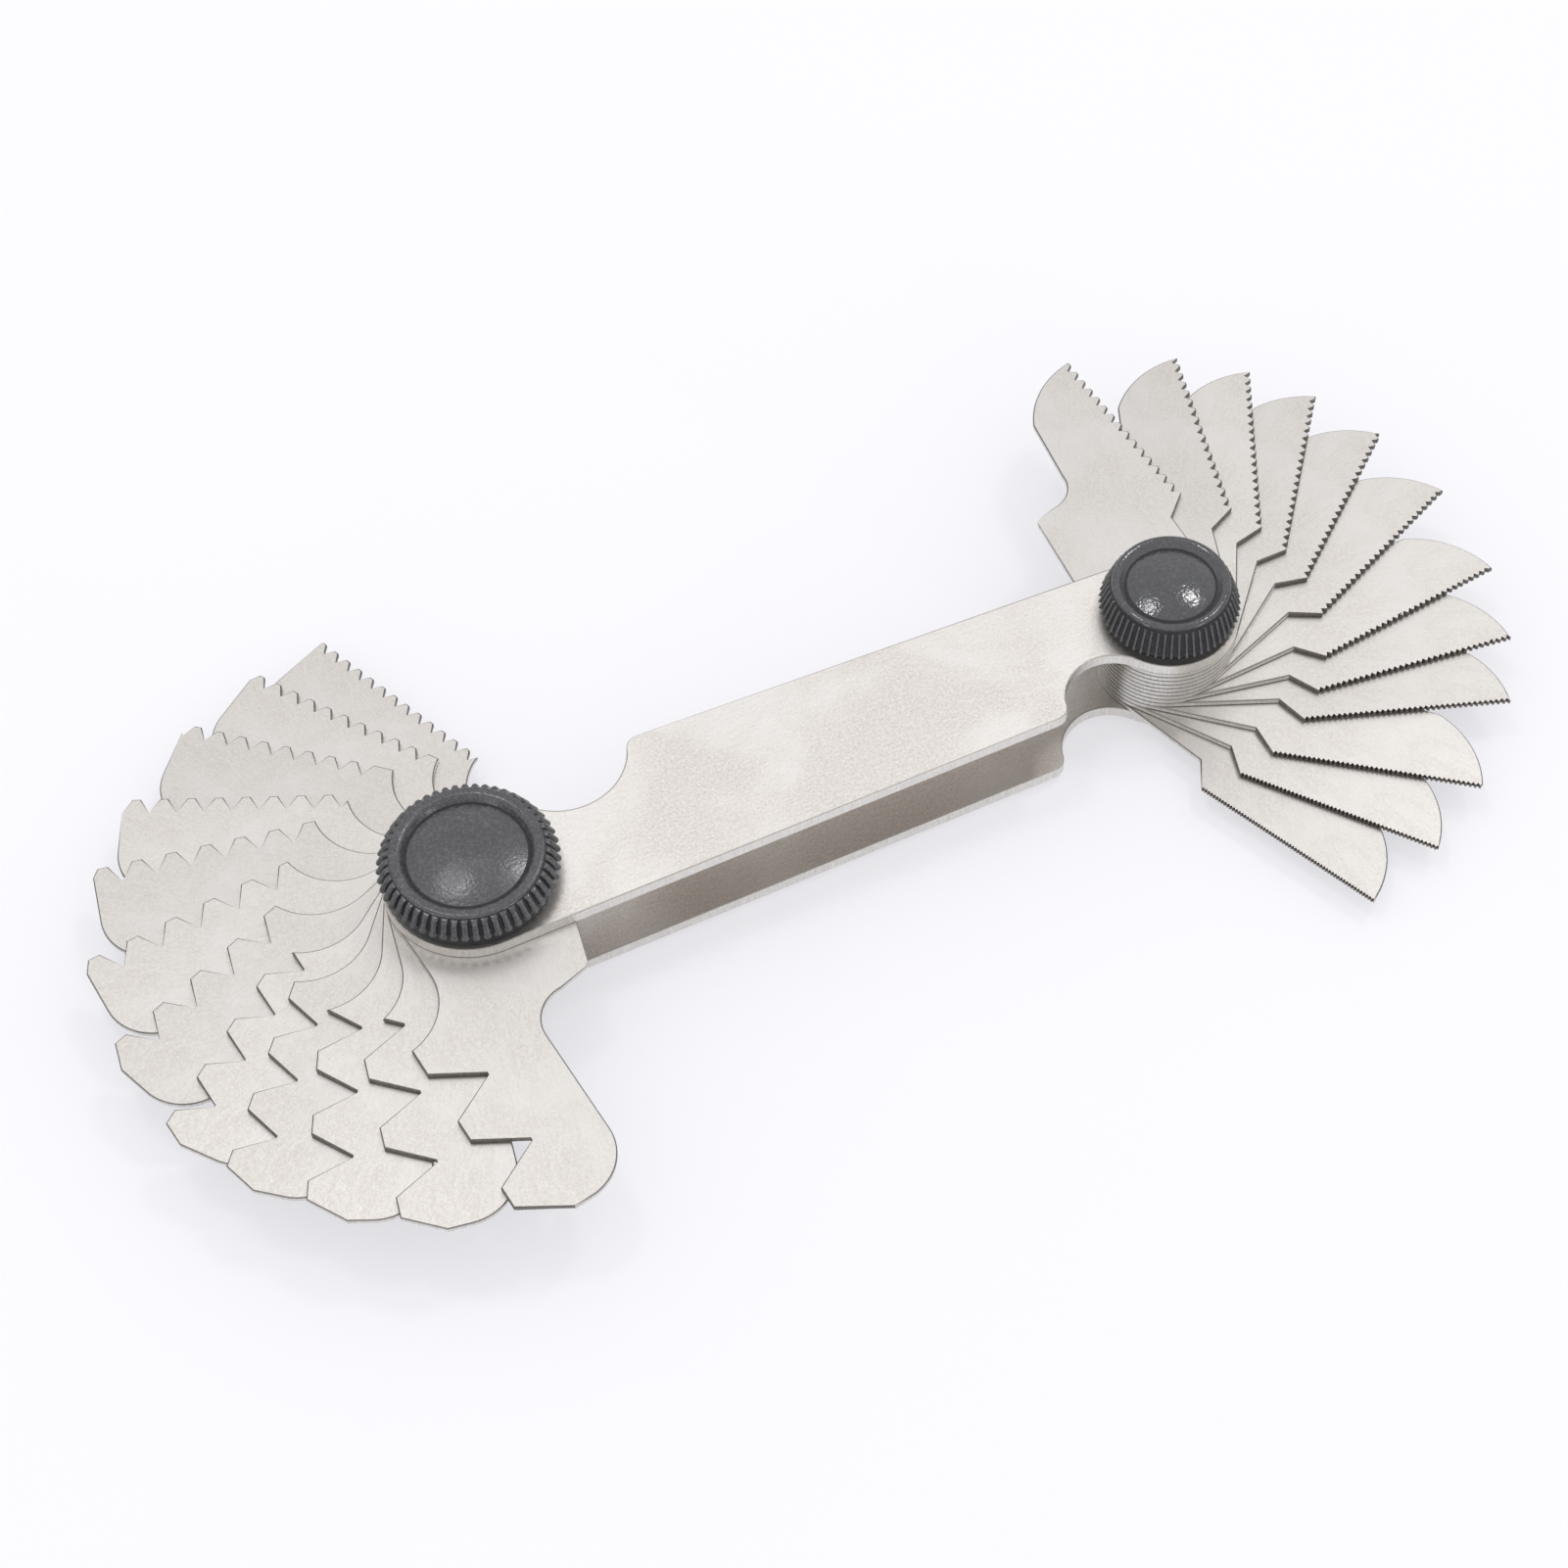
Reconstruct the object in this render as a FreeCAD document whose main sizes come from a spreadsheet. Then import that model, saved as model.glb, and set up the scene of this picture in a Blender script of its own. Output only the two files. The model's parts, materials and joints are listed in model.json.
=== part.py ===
import FreeCAD, Part

import math
import os

import Sketcher

# Metric screw pitch gauge: two side plates held by two pivot screws, with twelve coarse leaves on
# one screw and twelve fine leaves on the other, locked by a knurled knob on each screw.
# Millimetres, +Z up.  The origin is on the coarse pivot axis, at the underside of its screw head,
# and +X runs to the fine pivot.

COARSE_PITCHES = [1.25, 1.5, 1.75, 2.0, 2.5, 3.0, 3.5, 4.0, 4.5, 5.0, 5.5, 6.0]
FINE_PITCHES = [0.25, 0.3, 0.35, 0.4, 0.45, 0.5, 0.6, 0.7, 0.75, 0.8, 0.9, 1.0]

# Where each leaf stands in its fan, in degrees from +X, from the lowest leaf of the stack up.
COARSE_FAN = [115.0, 126.7, 140.6, 157.0, 170.4, 187.1, 203.5, 220.1, 232.7, 246.6, 261.1, 278.0]
FINE_FAN = [-64.2, -49.8, -35.9, -18.5, -6.3, 7.6, 25.0, 40.2, 53.4, 65.6, 78.4, 97.5]

# Where the innermost thread root of each coarse leaf lies along its toothed edge.
COARSE_FIRST_ROOTS = [10.26, 11.25, 12.0, 10.15, 11.61, 11.63, 12.28, 10.56, 12.88, 11.27, 9.93, 14.21]

SIZES = {
    # frame of the gauge
    "pivot_distance": 54.8,
    "plate_thickness": 1.0,
    "plate_end_coarse": 6.35,
    "plate_end_fine": 5.15,
    "plate_corner_radius": 1.1,
    "notch_coarse_along": 9.4,
    "notch_coarse_across": 6.8,
    "notch_coarse_radius": 4.85,
    "notch_fine_along": 7.0,
    "notch_fine_across": 5.3,
    "notch_fine_radius": 3.6,
    # stacks of leaves
    "leaf_thickness": 0.45,
    "leaf_clearance": 0.01,
    "leaf_bore_clearance": 0.03,
    "root_flat_share": 0.03,
    "tooth_depth_share": 0.585,
    # coarse leaf blank, in its own frame: +X along the toothed edge, teeth towards -Y
    "coarse_hub": 6.3,
    "coarse_neck_reach": 5.2,
    "coarse_neck_depth": 6.2,
    "coarse_scallop_radius": 4.7,
    "coarse_crest_line": 10.16,
    "coarse_reach": 26.15,
    "coarse_end_radius": 3.85,
    "coarse_back_line": 1.75,
    "coarse_finger_reach": 11.0,
    "coarse_finger_radius": 2.7,
    "coarse_heel_reach": 10.4,
    "coarse_heel_rise": 3.5,
    "coarse_heel_angle": 70.0,
    "coarse_heel_radius": 0.6,
    # fine leaf blank, in its own frame
    "fine_hub": 5.1,
    "fine_neck_reach": 7.6,
    "fine_neck_depth": 5.6,
    "fine_tooth_start": 9.16,
    "fine_crest_line": 7.53,
    "fine_reach": 24.4,
    "fine_tip_radius": 7.3,
    "fine_back_reach": 20.6,
    "fine_back_outer": 1.78,
    "fine_back_inner": 0.9,
    "fine_finger_reach": 13.1,
    "fine_finger_radius": 2.2,
    "fine_heel_reach": 12.7,
    "fine_heel_rise": 3.15,
    "fine_heel_angle": 62.0,
    "fine_heel_radius": 0.5,
    # pivot screws
    "screw_head_thickness": 0.6,
    "screw_head_coarse": 5.0,
    "screw_head_fine": 4.2,
    "screw_shank": 2.5,
    "screw_shank_setback": 0.1,
    "screw_thread": 1.9,
    "screw_fit": 0.02,
    "thread_fit": 0.05,
    # knobs: heights are above the top plate
    "knob_seat_gap": 0.02,
    "insert_radius": 2.9,
    "insert_headroom": 0.2,
    "coarse_knob_collar": 6.0,
    "coarse_knob_collar_height": 1.3,
    "coarse_knob_foot": 6.25,
    "coarse_knob_rim": 5.4,
    "coarse_knob_height": 2.8,
    "coarse_knob_ring": 4.4,
    "coarse_knob_ring_depth": 0.55,
    "coarse_knob_dome_rise": 0.45,
    "coarse_knob_ribs": 51,
    "coarse_knob_rib_height": 0.3,
    "coarse_insert_height": 1.6,
    "fine_knob_collar": 4.5,
    "fine_knob_collar_height": 0.9,
    "fine_knob_foot": 5.05,
    "fine_knob_rim": 4.25,
    "fine_knob_height": 3.4,
    "fine_knob_ring": 3.4,
    "fine_knob_ring_depth": 0.5,
    "fine_knob_dome_rise": 0.55,
    "fine_knob_ribs": 56,
    "fine_knob_rib_height": 0.15,
    "fine_insert_height": 2.2,
    "knob_rim_edge": 0.3,
    "knob_ring_width": 0.25,
}

# Half of the sixty degree angle between the flanks of a metric thread.
FLANK_ANGLE = 30.0
# How far a groove's outline stands out past the toothed edge: a share of what would let two of them meet.
GROOVE_OVERRUN = 0.3
# How far the last coarse groove may lie past the straight part of the edge, as a share of the pitch.
LAST_GROOVE_SHARE = 0.35
# Widths of a grip rib at its foot and at its shoulders, and the height of its shoulders, as shares.
RIB_FOOT_SHARE = 0.8
RIB_SHOULDER_SHARE = 0.55


class Size:
    """A number together with the spreadsheet expression that gives it."""

    def __init__(self, value, text):
        self.value = float(value)
        self.text = text

    def __add__(self, other):
        other = as_size(other)
        return Size(self.value + other.value, "(%s + %s)" % (self.text, other.text))

    def __sub__(self, other):
        other = as_size(other)
        return Size(self.value - other.value, "(%s - %s)" % (self.text, other.text))

    def __mul__(self, other):
        other = as_size(other)
        return Size(self.value * other.value, "(%s * %s)" % (self.text, other.text))

    def __truediv__(self, other):
        other = as_size(other)
        return Size(self.value / other.value, "(%s / %s)" % (self.text, other.text))

    def __neg__(self):
        return Size(-self.value, "(0 - %s)" % self.text)


def as_size(number):
    if isinstance(number, Size):
        return number
    return Size(number, "%.9g" % number)


def size(alias):
    return Size(SIZES[alias], "Sizes." + alias)


def root(square):
    return Size(math.sqrt(square.value), "sqrt(%s)" % square.text)


def cosine(degrees):
    return Size(math.cos(math.radians(degrees.value)), "cos(%s)" % degrees.text)


def sine(degrees):
    return Size(math.sin(math.radians(degrees.value)), "sin(%s)" % degrees.text)


def arc_cosine(ratio):
    return Size(math.degrees(math.acos(ratio.value)), "acos(%s)" % ratio.text)


def arc_sine(ratio):
    return Size(math.degrees(math.asin(ratio.value)), "asin(%s)" % ratio.text)


def heading(rise, run):
    return Size(math.degrees(math.atan2(rise.value, run.value)), "atan2(%s; %s)" % (rise.text, run.text))


def length(run, rise):
    return root(run * run + rise * rise)


def polar(centre, radius, degrees):
    return (centre[0] + radius * cosine(degrees), centre[1] + radius * sine(degrees))


def make_sheet(document):
    """Write every driving size into the spreadsheet under its own name."""
    sheet = document.addObject("Spreadsheet::Sheet", "Sizes")
    for row, (alias, value) in enumerate(SIZES.items(), start=1):
        sheet.set("A%d" % row, alias)
        sheet.set("B%d" % row, "%g" % value)
        sheet.setAlias("B%d" % row, alias)
    document.recompute()
    return sheet


def bind(item, name, amount):
    """Give a property its value and tie it to the spreadsheet."""
    amount = as_size(amount)
    item.setExpression(name, amount.text)


def make_body(document, label):
    body = document.addObject("PartDesign::Body", label)
    body.Label = label
    return body


def make_sketch(body, name, role, height=None):
    """A sketch on one of the body's own planes, lifted by height."""
    plane = [item for item in body.Origin.OriginFeatures if item.Role == role][0]
    sketch = body.newObject("Sketcher::SketchObject", name)
    sketch.AttachmentSupport = [(plane, "")]
    sketch.MapMode = "FlatFace"
    if height is not None:
        sketch.AttachmentOffset = FreeCAD.Placement(FreeCAD.Vector(0, 0, height.value), FreeCAD.Rotation())
        bind(sketch, "AttachmentOffset.Base.z", height)
    return sketch


def vector(point):
    return FreeCAD.Vector(point[0].value, point[1].value, 0)


def arc_through(start, end, radius, clockwise, major):
    """The arc of that radius from start to end, drawn counter-clockwise."""
    first, last = (end, start) if clockwise else (start, end)
    chord = last - first
    middle = (first + last) * 0.5
    across = FreeCAD.Vector(-chord.y, chord.x, 0).normalize()
    apart = math.sqrt(max(radius * radius - chord.Length ** 2 / 4.0, 0.0))
    centre = middle - across * apart if major else middle + across * apart
    angles = [math.atan2(point.y - centre.y, point.x - centre.x) for point in (first, last)]
    return Part.ArcOfCircle(Part.Circle(centre, FreeCAD.Vector(0, 0, 1), radius), angles[0], angles[1])


def draw_outline(sketch, corners):
    """Draw a closed outline and pin each corner and arc radius to the spreadsheet.

    A corner is (point, to_next): to_next is None for a straight edge, or (radius, clockwise, major).
    """
    ends = []
    for index, (point, to_next) in enumerate(corners):
        start = vector(point)
        end = vector(corners[(index + 1) % len(corners)][0])
        if to_next is None:
            edge = sketch.addGeometry(Part.LineSegment(start, end))
            ends.append((edge, 1, 2))
        else:
            radius, clockwise, major = to_next
            edge = sketch.addGeometry(arc_through(start, end, radius.value, clockwise, major))
            ends.append((edge, 2, 1) if clockwise else (edge, 1, 2))
    for index, (edge, start_end, far_end) in enumerate(ends):
        next_edge, next_start = ends[(index + 1) % len(ends)][:2]
        sketch.addConstraint(Sketcher.Constraint("Coincident", edge, far_end, next_edge, next_start))
    for index, (point, to_next) in enumerate(corners):
        edge, start_end = ends[index][:2]
        pin_point(sketch, edge, start_end, point)
        if to_next is not None:
            radius = sketch.addConstraint(Sketcher.Constraint("Radius", edge, to_next[0].value))
            bind(sketch, "Constraints[%d]" % radius, to_next[0])


def pin_point(sketch, edge, end, point):
    """Pin a sketch point at its distances from the sketch's origin."""
    for kind, amount in (("DistanceX", point[0]), ("DistanceY", point[1])):
        pinned = sketch.addConstraint(Sketcher.Constraint(kind, -1, 1, edge, end, amount.value))
        if amount.text != "0":
            bind(sketch, "Constraints[%d]" % pinned, amount)


def draw_circle(sketch, centre, radius):
    edge = sketch.addGeometry(Part.Circle(vector(centre), FreeCAD.Vector(0, 0, 1), radius.value))
    pin_point(sketch, edge, 3, centre)
    measured = sketch.addConstraint(Sketcher.Constraint("Radius", edge, radius.value))
    bind(sketch, "Constraints[%d]" % measured, radius)


def pad(body, name, sketch, height):
    feature = body.newObject("PartDesign::Pad", name)
    feature.Profile = sketch
    bind(feature, "Length", height)
    return feature


def cut_through(body, name, sketch):
    """Cut the sketch right through the body, both ways from the sketch's plane."""
    feature = body.newObject("PartDesign::Pocket", name)
    feature.Profile = sketch
    feature.Type = "ThroughAll"
    feature.Midplane = True
    return feature


def revolve(body, name, sketch):
    feature = body.newObject("PartDesign::Revolution", name)
    feature.Profile = sketch
    feature.ReferenceAxis = (sketch, ["V_Axis"])
    feature.Angle = 360.0
    return feature


def round_upright_edges(document, body, base, name, points, radius):
    """Round the upright edges that stand at the given points."""
    document.recompute()
    names = []
    for index, edge in enumerate(base.Shape.Edges, start=1):
        foot, top = edge.Vertexes[0].Point, edge.Vertexes[-1].Point
        upright = math.hypot(top.x - foot.x, top.y - foot.y) < 1e-6 and abs(top.z - foot.z) > 1e-6
        near = [1 for point in points if (FreeCAD.Vector(foot.x, foot.y, 0) - vector(point)).Length < 0.01]
        if upright and near:
            names.append("Edge%d" % index)
    feature = body.newObject("PartDesign::Fillet", name)
    feature.Base = (base, names)
    bind(feature, "Radius", radius)
    return feature


def place(body, x, z, degrees=0.0):
    turn = FreeCAD.Rotation(FreeCAD.Vector(0, 0, 1), degrees)
    body.Placement = FreeCAD.Placement(FreeCAD.Vector(x.value, 0, z.value), turn)
    bind(body, "Placement.Base.x", x)
    bind(body, "Placement.Base.z", z)


ZERO = Size(0, "0")
ORIGIN = (ZERO, ZERO)
STACK_STEP = size("leaf_thickness") + size("leaf_clearance")
STACK_HEIGHT = STACK_STEP * len(COARSE_PITCHES) + size("leaf_clearance")
BOTTOM_PLATE_FLOOR = size("screw_head_thickness")
STACK_FLOOR = BOTTOM_PLATE_FLOOR + size("plate_thickness")
TOP_PLATE_FLOOR = STACK_FLOOR + STACK_HEIGHT
TOP_PLATE_CEILING = TOP_PLATE_FLOOR + size("plate_thickness")
COARSE_X = ZERO
FINE_X = size("pivot_distance")


def notch_corners(pivot, side, along, across, radius, end_radius, slope):
    """Points of one finger notch: on the plate's edge, on the notch circle and on the round end.

    side is +1 where the notch lies beyond the coarse pivot on the +Y side, and -1 for the fine one.
    """
    centre = (pivot[0] + along * side, across * side)
    apart = length(centre[0] - pivot[0], centre[1] - pivot[1])
    towards = heading(centre[1] - pivot[1], centre[0] - pivot[0])
    lean = arc_cosine((radius + end_radius) / apart)
    on_end = polar(pivot, end_radius, towards + lean)
    on_notch = polar(centre, -radius, towards + lean)
    # the straight edge is at edge_line from the axis, measured square to itself
    edge_line = end_radius - sine(slope) * ((centre[0] - pivot[0]) * side) * side
    below = edge_line - across * cosine(slope)
    reach = root(radius * radius - below * below)
    foot = (centre[0] + sine(slope) * below * side, centre[1] + cosine(slope) * below * side)
    on_edge = (foot[0] + cosine(slope) * reach * side, foot[1] - sine(slope) * reach)
    return on_edge, on_notch, on_end


def make_plate(document, label, floor):
    """A side plate: two round ends joined by tapering edges, with a finger notch near each pivot."""
    body = make_body(document, label)
    end_coarse = size("plate_end_coarse")
    end_fine = size("plate_end_fine")
    slope = arc_sine((end_coarse - end_fine) / FINE_X)
    coarse_pivot = (COARSE_X, ZERO)
    fine_pivot = (FINE_X, ZERO)
    coarse_notch = notch_corners(coarse_pivot, 1, size("notch_coarse_along"), size("notch_coarse_across"),
                                 size("notch_coarse_radius"), end_coarse, slope)
    fine_notch = notch_corners(fine_pivot, -1, size("notch_fine_along"), size("notch_fine_across"),
                               size("notch_fine_radius"), end_fine, slope)
    outline = [
        ((sine(slope) * end_coarse, -(cosine(slope) * end_coarse)), None),
        (fine_notch[0], (size("notch_fine_radius"), True, False)),
        (fine_notch[1], None),
        (fine_notch[2], (end_fine, False, True)),
        ((FINE_X + sine(slope) * end_fine, cosine(slope) * end_fine), None),
        (coarse_notch[0], (size("notch_coarse_radius"), True, False)),
        (coarse_notch[1], None),
        (coarse_notch[2], (end_coarse, False, True)),
    ]
    sketch = make_sketch(body, label + "_outline", "XY_Plane")
    draw_outline(sketch, outline)
    blank = pad(body, label + "_pad", sketch, size("plate_thickness"))
    round_upright_edges(document, body, blank, label + "_corners", [fine_notch[0], coarse_notch[0]],
                        size("plate_corner_radius"))
    bores = make_sketch(body, label + "_bores", "XY_Plane")
    for pivot in (coarse_pivot, fine_pivot):
        draw_circle(bores, pivot, size("screw_shank") + size("screw_fit"))
    cut_through(body, label + "_pivot_bores", bores)
    place(body, ZERO, floor)
    return body


def coarse_blank():
    """Outline of a coarse leaf before its teeth are cut."""
    hub = size("coarse_hub")
    scallop = size("coarse_scallop_radius")
    crest = size("coarse_crest_line")
    back = size("coarse_back_line")
    reach = size("coarse_reach")
    end = size("coarse_end_radius")
    finger = size("coarse_finger_radius")
    finger_reach = size("coarse_finger_reach")
    drop = crest - size("coarse_neck_depth") - scallop
    scallop_end = size("coarse_neck_reach") + root(scallop * scallop - drop * drop)
    heel = (size("coarse_heel_reach"), size("coarse_heel_rise"))
    outline = [
        ((ZERO, -hub), None),
        ((size("coarse_neck_reach"), -size("coarse_neck_depth")), (scallop, True, False)),
        ((scallop_end, -crest), None),
        ((reach, -crest), None),
        ((reach, -(back + end)), (end, False, False)),
        ((reach - end, -back), None),
        ((finger_reach + finger, -back), (finger, True, False)),
        ((finger_reach, finger - back), None),
        (heel, None),
        (polar(ORIGIN, hub, size("coarse_heel_angle")), (hub, False, True)),
    ]
    return outline, heel, size("coarse_heel_radius")


def fine_blank():
    """Outline of a fine leaf before its teeth are cut."""
    hub = size("fine_hub")
    crest = size("fine_crest_line")
    finger = size("fine_finger_radius")
    finger_reach = size("fine_finger_reach")
    inner = size("fine_back_inner")
    heel = (size("fine_heel_reach"), size("fine_heel_rise"))
    outline = [
        ((ZERO, -hub), None),
        ((size("fine_neck_reach"), -size("fine_neck_depth")), None),
        ((size("fine_tooth_start"), -crest), None),
        ((size("fine_reach"), -crest), (size("fine_tip_radius"), False, False)),
        ((size("fine_back_reach"), -size("fine_back_outer")), None),
        ((finger_reach + finger, -inner), (finger, True, False)),
        ((finger_reach, finger - inner), None),
        (heel, None),
        (polar(ORIGIN, hub, size("fine_heel_angle")), (hub, False, True)),
    ]
    return outline, heel, size("fine_heel_radius")


def cut_teeth(document, body, label, pitch, first_root, last_root, crest_line):
    """Cut one sixty degree thread groove into the edge and repeat it at the pitch."""
    flank = math.tan(math.radians(FLANK_ANGLE))
    depth = size("tooth_depth_share") * pitch
    root_half = size("root_flat_share") * (pitch / 2.0)
    mouth_half = root_half + depth * flank
    outside = (Size(pitch / 2.0, "%.9g" % (pitch / 2.0)) - mouth_half) * GROOVE_OVERRUN
    spread = mouth_half + outside * flank
    outline = [
        ((as_size(first_root) - spread, -(crest_line + outside)), None),
        ((as_size(first_root) + spread, -(crest_line + outside)), None),
        ((as_size(first_root) + root_half, depth - crest_line), None),
        ((as_size(first_root) - root_half, depth - crest_line), None),
    ]
    sketch = make_sketch(body, label + "_groove_outline", "XY_Plane")
    draw_outline(sketch, outline)
    groove = cut_through(body, label + "_groove", sketch)
    count = int(math.floor((last_root - first_root) / pitch + 1e-6)) + 1
    if count > 1:
        document.recompute()
        rack = body.newObject("PartDesign::LinearPattern", label + "_rack")
        rack.Originals = [groove]
        rack.Direction = (sketch, ["H_Axis"])
        rack.Length = pitch * (count - 1)
        rack.Occurrences = count
        body.Tip = rack


def leaf_label(pitch):
    return "leaf_%s" % ("%.2f" % pitch).replace(".", "_")


def make_leaf(document, pitch, blank, edge, pivot_x, level, degrees):
    """One gauge leaf: a stamped blank with a pivot bore and a rack of thread grooves."""
    label = leaf_label(pitch)
    outline, heel, heel_radius = blank
    first_root, last_root, crest_line = edge
    body = make_body(document, label)
    sketch = make_sketch(body, label + "_outline", "XY_Plane")
    draw_outline(sketch, outline)
    stock = pad(body, label + "_pad", sketch, size("leaf_thickness"))
    round_upright_edges(document, body, stock, label + "_heel", [heel], heel_radius)
    bore = make_sketch(body, label + "_bore", "XY_Plane")
    draw_circle(bore, ORIGIN, size("screw_shank") + size("leaf_bore_clearance"))
    cut_through(body, label + "_pivot_bore", bore)
    cut_teeth(document, body, label, pitch, first_root, last_root, crest_line)
    floor = STACK_FLOOR + size("leaf_clearance") + STACK_STEP * level
    place(body, pivot_x, floor, degrees)
    return body


def make_coarse_leaves(document):
    leaves = []
    for level, pitch in enumerate(COARSE_PITCHES):
        last_root = SIZES["coarse_reach"] + pitch * LAST_GROOVE_SHARE
        edge = (COARSE_FIRST_ROOTS[level], last_root, size("coarse_crest_line"))
        leaves.append(make_leaf(document, pitch, coarse_blank(), edge, COARSE_X, level, COARSE_FAN[level]))
    return leaves


def make_fine_leaves(document):
    leaves = []
    for level, pitch in enumerate(FINE_PITCHES):
        first_root = SIZES["fine_tooth_start"] + pitch / 2.0
        edge = (first_root, SIZES["fine_reach"], size("fine_crest_line"))
        leaves.append(make_leaf(document, pitch, fine_blank(), edge, FINE_X, level, FINE_FAN[level]))
    return leaves


def make_screw(document, label, pivot_x, head, insert_height):
    """A pivot screw: a low round head, a plain shank for the leaves and a threaded end."""
    body = make_body(document, label)
    shank = size("screw_shank")
    thread = size("screw_thread")
    step = TOP_PLATE_CEILING - size("screw_shank_setback")
    top = TOP_PLATE_CEILING + insert_height - size("insert_headroom")
    head_thickness = size("screw_head_thickness")
    outline = [
        ((ZERO, ZERO), None),
        ((head, ZERO), None),
        ((head, head_thickness), None),
        ((shank, head_thickness), None),
        ((shank, step), None),
        ((thread, step), None),
        ((thread, top), None),
        ((ZERO, top), None),
    ]
    sketch = make_sketch(body, label + "_profile", "XZ_Plane")
    draw_outline(sketch, outline)
    revolve(body, label + "_turned", sketch)
    place(body, pivot_x, ZERO)
    return body


def make_insert(document, label, pivot_x, height):
    """The threaded brass insert moulded into a knob; its thread is a plain bore."""
    body = make_body(document, label)
    sketch = make_sketch(body, label + "_section", "XY_Plane")
    draw_circle(sketch, ORIGIN, size("insert_radius"))
    draw_circle(sketch, ORIGIN, size("screw_thread") + size("thread_fit"))
    pad(body, label + "_pad", sketch, height)
    place(body, pivot_x, TOP_PLATE_CEILING + size("knob_seat_gap"))
    return body


def make_knob(document, label, pivot_x, prefix):
    """A moulded knob: collar, tapering ribbed wall, smooth rim and a low dome in a ring groove."""
    body = make_body(document, label)
    collar = size(prefix + "_knob_collar")
    collar_height = size(prefix + "_knob_collar_height")
    foot = size(prefix + "_knob_foot")
    rim = size(prefix + "_knob_rim")
    gap = size("knob_seat_gap")
    height = size(prefix + "_knob_height") - gap
    ring = size(prefix + "_knob_ring")
    ring_floor = height - size(prefix + "_knob_ring_depth")
    dome = size(prefix + "_knob_dome_rise")
    edge = size("knob_rim_edge")
    inner = ring - size("knob_ring_width")
    dome_radius = (inner * inner + dome * dome) / (dome * 2)
    insert_radius = size("insert_radius")
    insert_top = size(prefix + "_insert_height")
    outline = [
        ((insert_radius, ZERO), None),
        ((collar, ZERO), None),
        ((collar, collar_height), None),
        ((foot, collar_height), None),
        ((rim, height - edge), None),
        ((rim - edge, height), None),
        ((ring + size("knob_ring_width"), height), None),
        ((ring, ring_floor), None),
        ((inner, ring_floor), (dome_radius, False, False)),
        ((ZERO, ring_floor + dome), None),
        ((ZERO, insert_top), None),
        ((insert_radius, insert_top), None),
    ]
    sketch = make_sketch(body, label + "_profile", "XZ_Plane")
    draw_outline(sketch, outline)
    revolve(body, label + "_moulding", sketch)
    add_ribs(document, body, label, foot, rim, collar_height, height - edge, prefix)
    place(body, pivot_x, TOP_PLATE_CEILING + gap)
    return body


def add_ribs(document, body, label, foot, rim, low, high, prefix):
    """Raise one tapering grip rib on the wall and repeat it round the knob."""
    count = SIZES[prefix + "_knob_ribs"]
    rise = size(prefix + "_knob_rib_height")
    sections = []
    for name, radius, level in (("low", foot, low), ("high", rim, high)):
        half_step = radius * math.tan(math.pi / count)
        sunk = radius * math.cos(math.pi / count) - rise
        outline = [
            ((sunk, -(half_step * RIB_FOOT_SHARE)), None),
            ((radius + rise * RIB_SHOULDER_SHARE, -(half_step * RIB_SHOULDER_SHARE)), None),
            ((radius + rise, ZERO), None),
            ((radius + rise * RIB_SHOULDER_SHARE, half_step * RIB_SHOULDER_SHARE), None),
            ((sunk, half_step * RIB_FOOT_SHARE), None),
        ]
        sketch = make_sketch(body, "%s_rib_%s" % (label, name), "XY_Plane", level)
        draw_outline(sketch, outline)
        sections.append(sketch)
    document.recompute()
    rib = body.newObject("PartDesign::AdditiveLoft", label + "_rib")
    rib.Profile = sections[0]
    rib.Sections = [sections[1]]
    rib.Ruled = True
    document.recompute()
    ribs = body.newObject("PartDesign::PolarPattern", label + "_ribs")
    ribs.Originals = [rib]
    ribs.Axis = (sections[0], ["N_Axis"])
    ribs.Angle = 360.0
    ribs.Occurrences = int(count)
    body.Tip = ribs


def check_document(document):
    """Stop if any object failed to compute."""
    for item in document.Objects:
        bad = [word for word in item.State if word in ("Invalid", "Error")]
        if bad:
            raise RuntimeError("%s: %s" % (item.Label, ", ".join(bad)))


def check_shape(body):
    """Stop if a sub-part has no shape, or one that isn't a single valid solid."""
    shape = body.Shape
    if shape.isNull() or not shape.isValid() or len(shape.Solids) != 1:
        raise RuntimeError("bad shape: " + body.Label)


def main():
    document = FreeCAD.newDocument("ThreadPitchGauge")
    make_sheet(document)
    parts = [
        make_plate(document, "bottom_plate", BOTTOM_PLATE_FLOOR),
        make_plate(document, "top_plate", TOP_PLATE_FLOOR),
        make_screw(document, "pivot_screw_coarse", COARSE_X, size("screw_head_coarse"),
                   size("coarse_insert_height")),
        make_screw(document, "pivot_screw_fine", FINE_X, size("screw_head_fine"),
                   size("fine_insert_height")),
        make_insert(document, "threaded_insert_coarse", COARSE_X, size("coarse_insert_height")),
        make_insert(document, "threaded_insert_fine", FINE_X, size("fine_insert_height")),
        make_knob(document, "knurled_knob_coarse", COARSE_X, "coarse"),
        make_knob(document, "knurled_knob_fine", FINE_X, "fine"),
    ]
    parts += make_coarse_leaves(document)
    parts += make_fine_leaves(document)
    document.recompute()
    check_document(document)
    for body in parts:
        check_shape(body)
    os.makedirs("parts", exist_ok=True)
    for body in parts:
        body.Shape.exportStep("parts/%s.step" % body.Label)
    print("sub-parts:", len(parts))


main()
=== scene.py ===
"""Dresses the thread pitch gauge: bright stamped plates, two fans of toothed leaves and two black knobs.

Everything is in metres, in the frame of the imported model: +X runs from the coarse pivot to the fine
pivot, and +Z goes up through the stack of leaves to the knobs.
"""

import json
import logging
import math
import random
from dataclasses import dataclass
from enum import Enum
from typing import Callable, Iterable, Sequence

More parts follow.
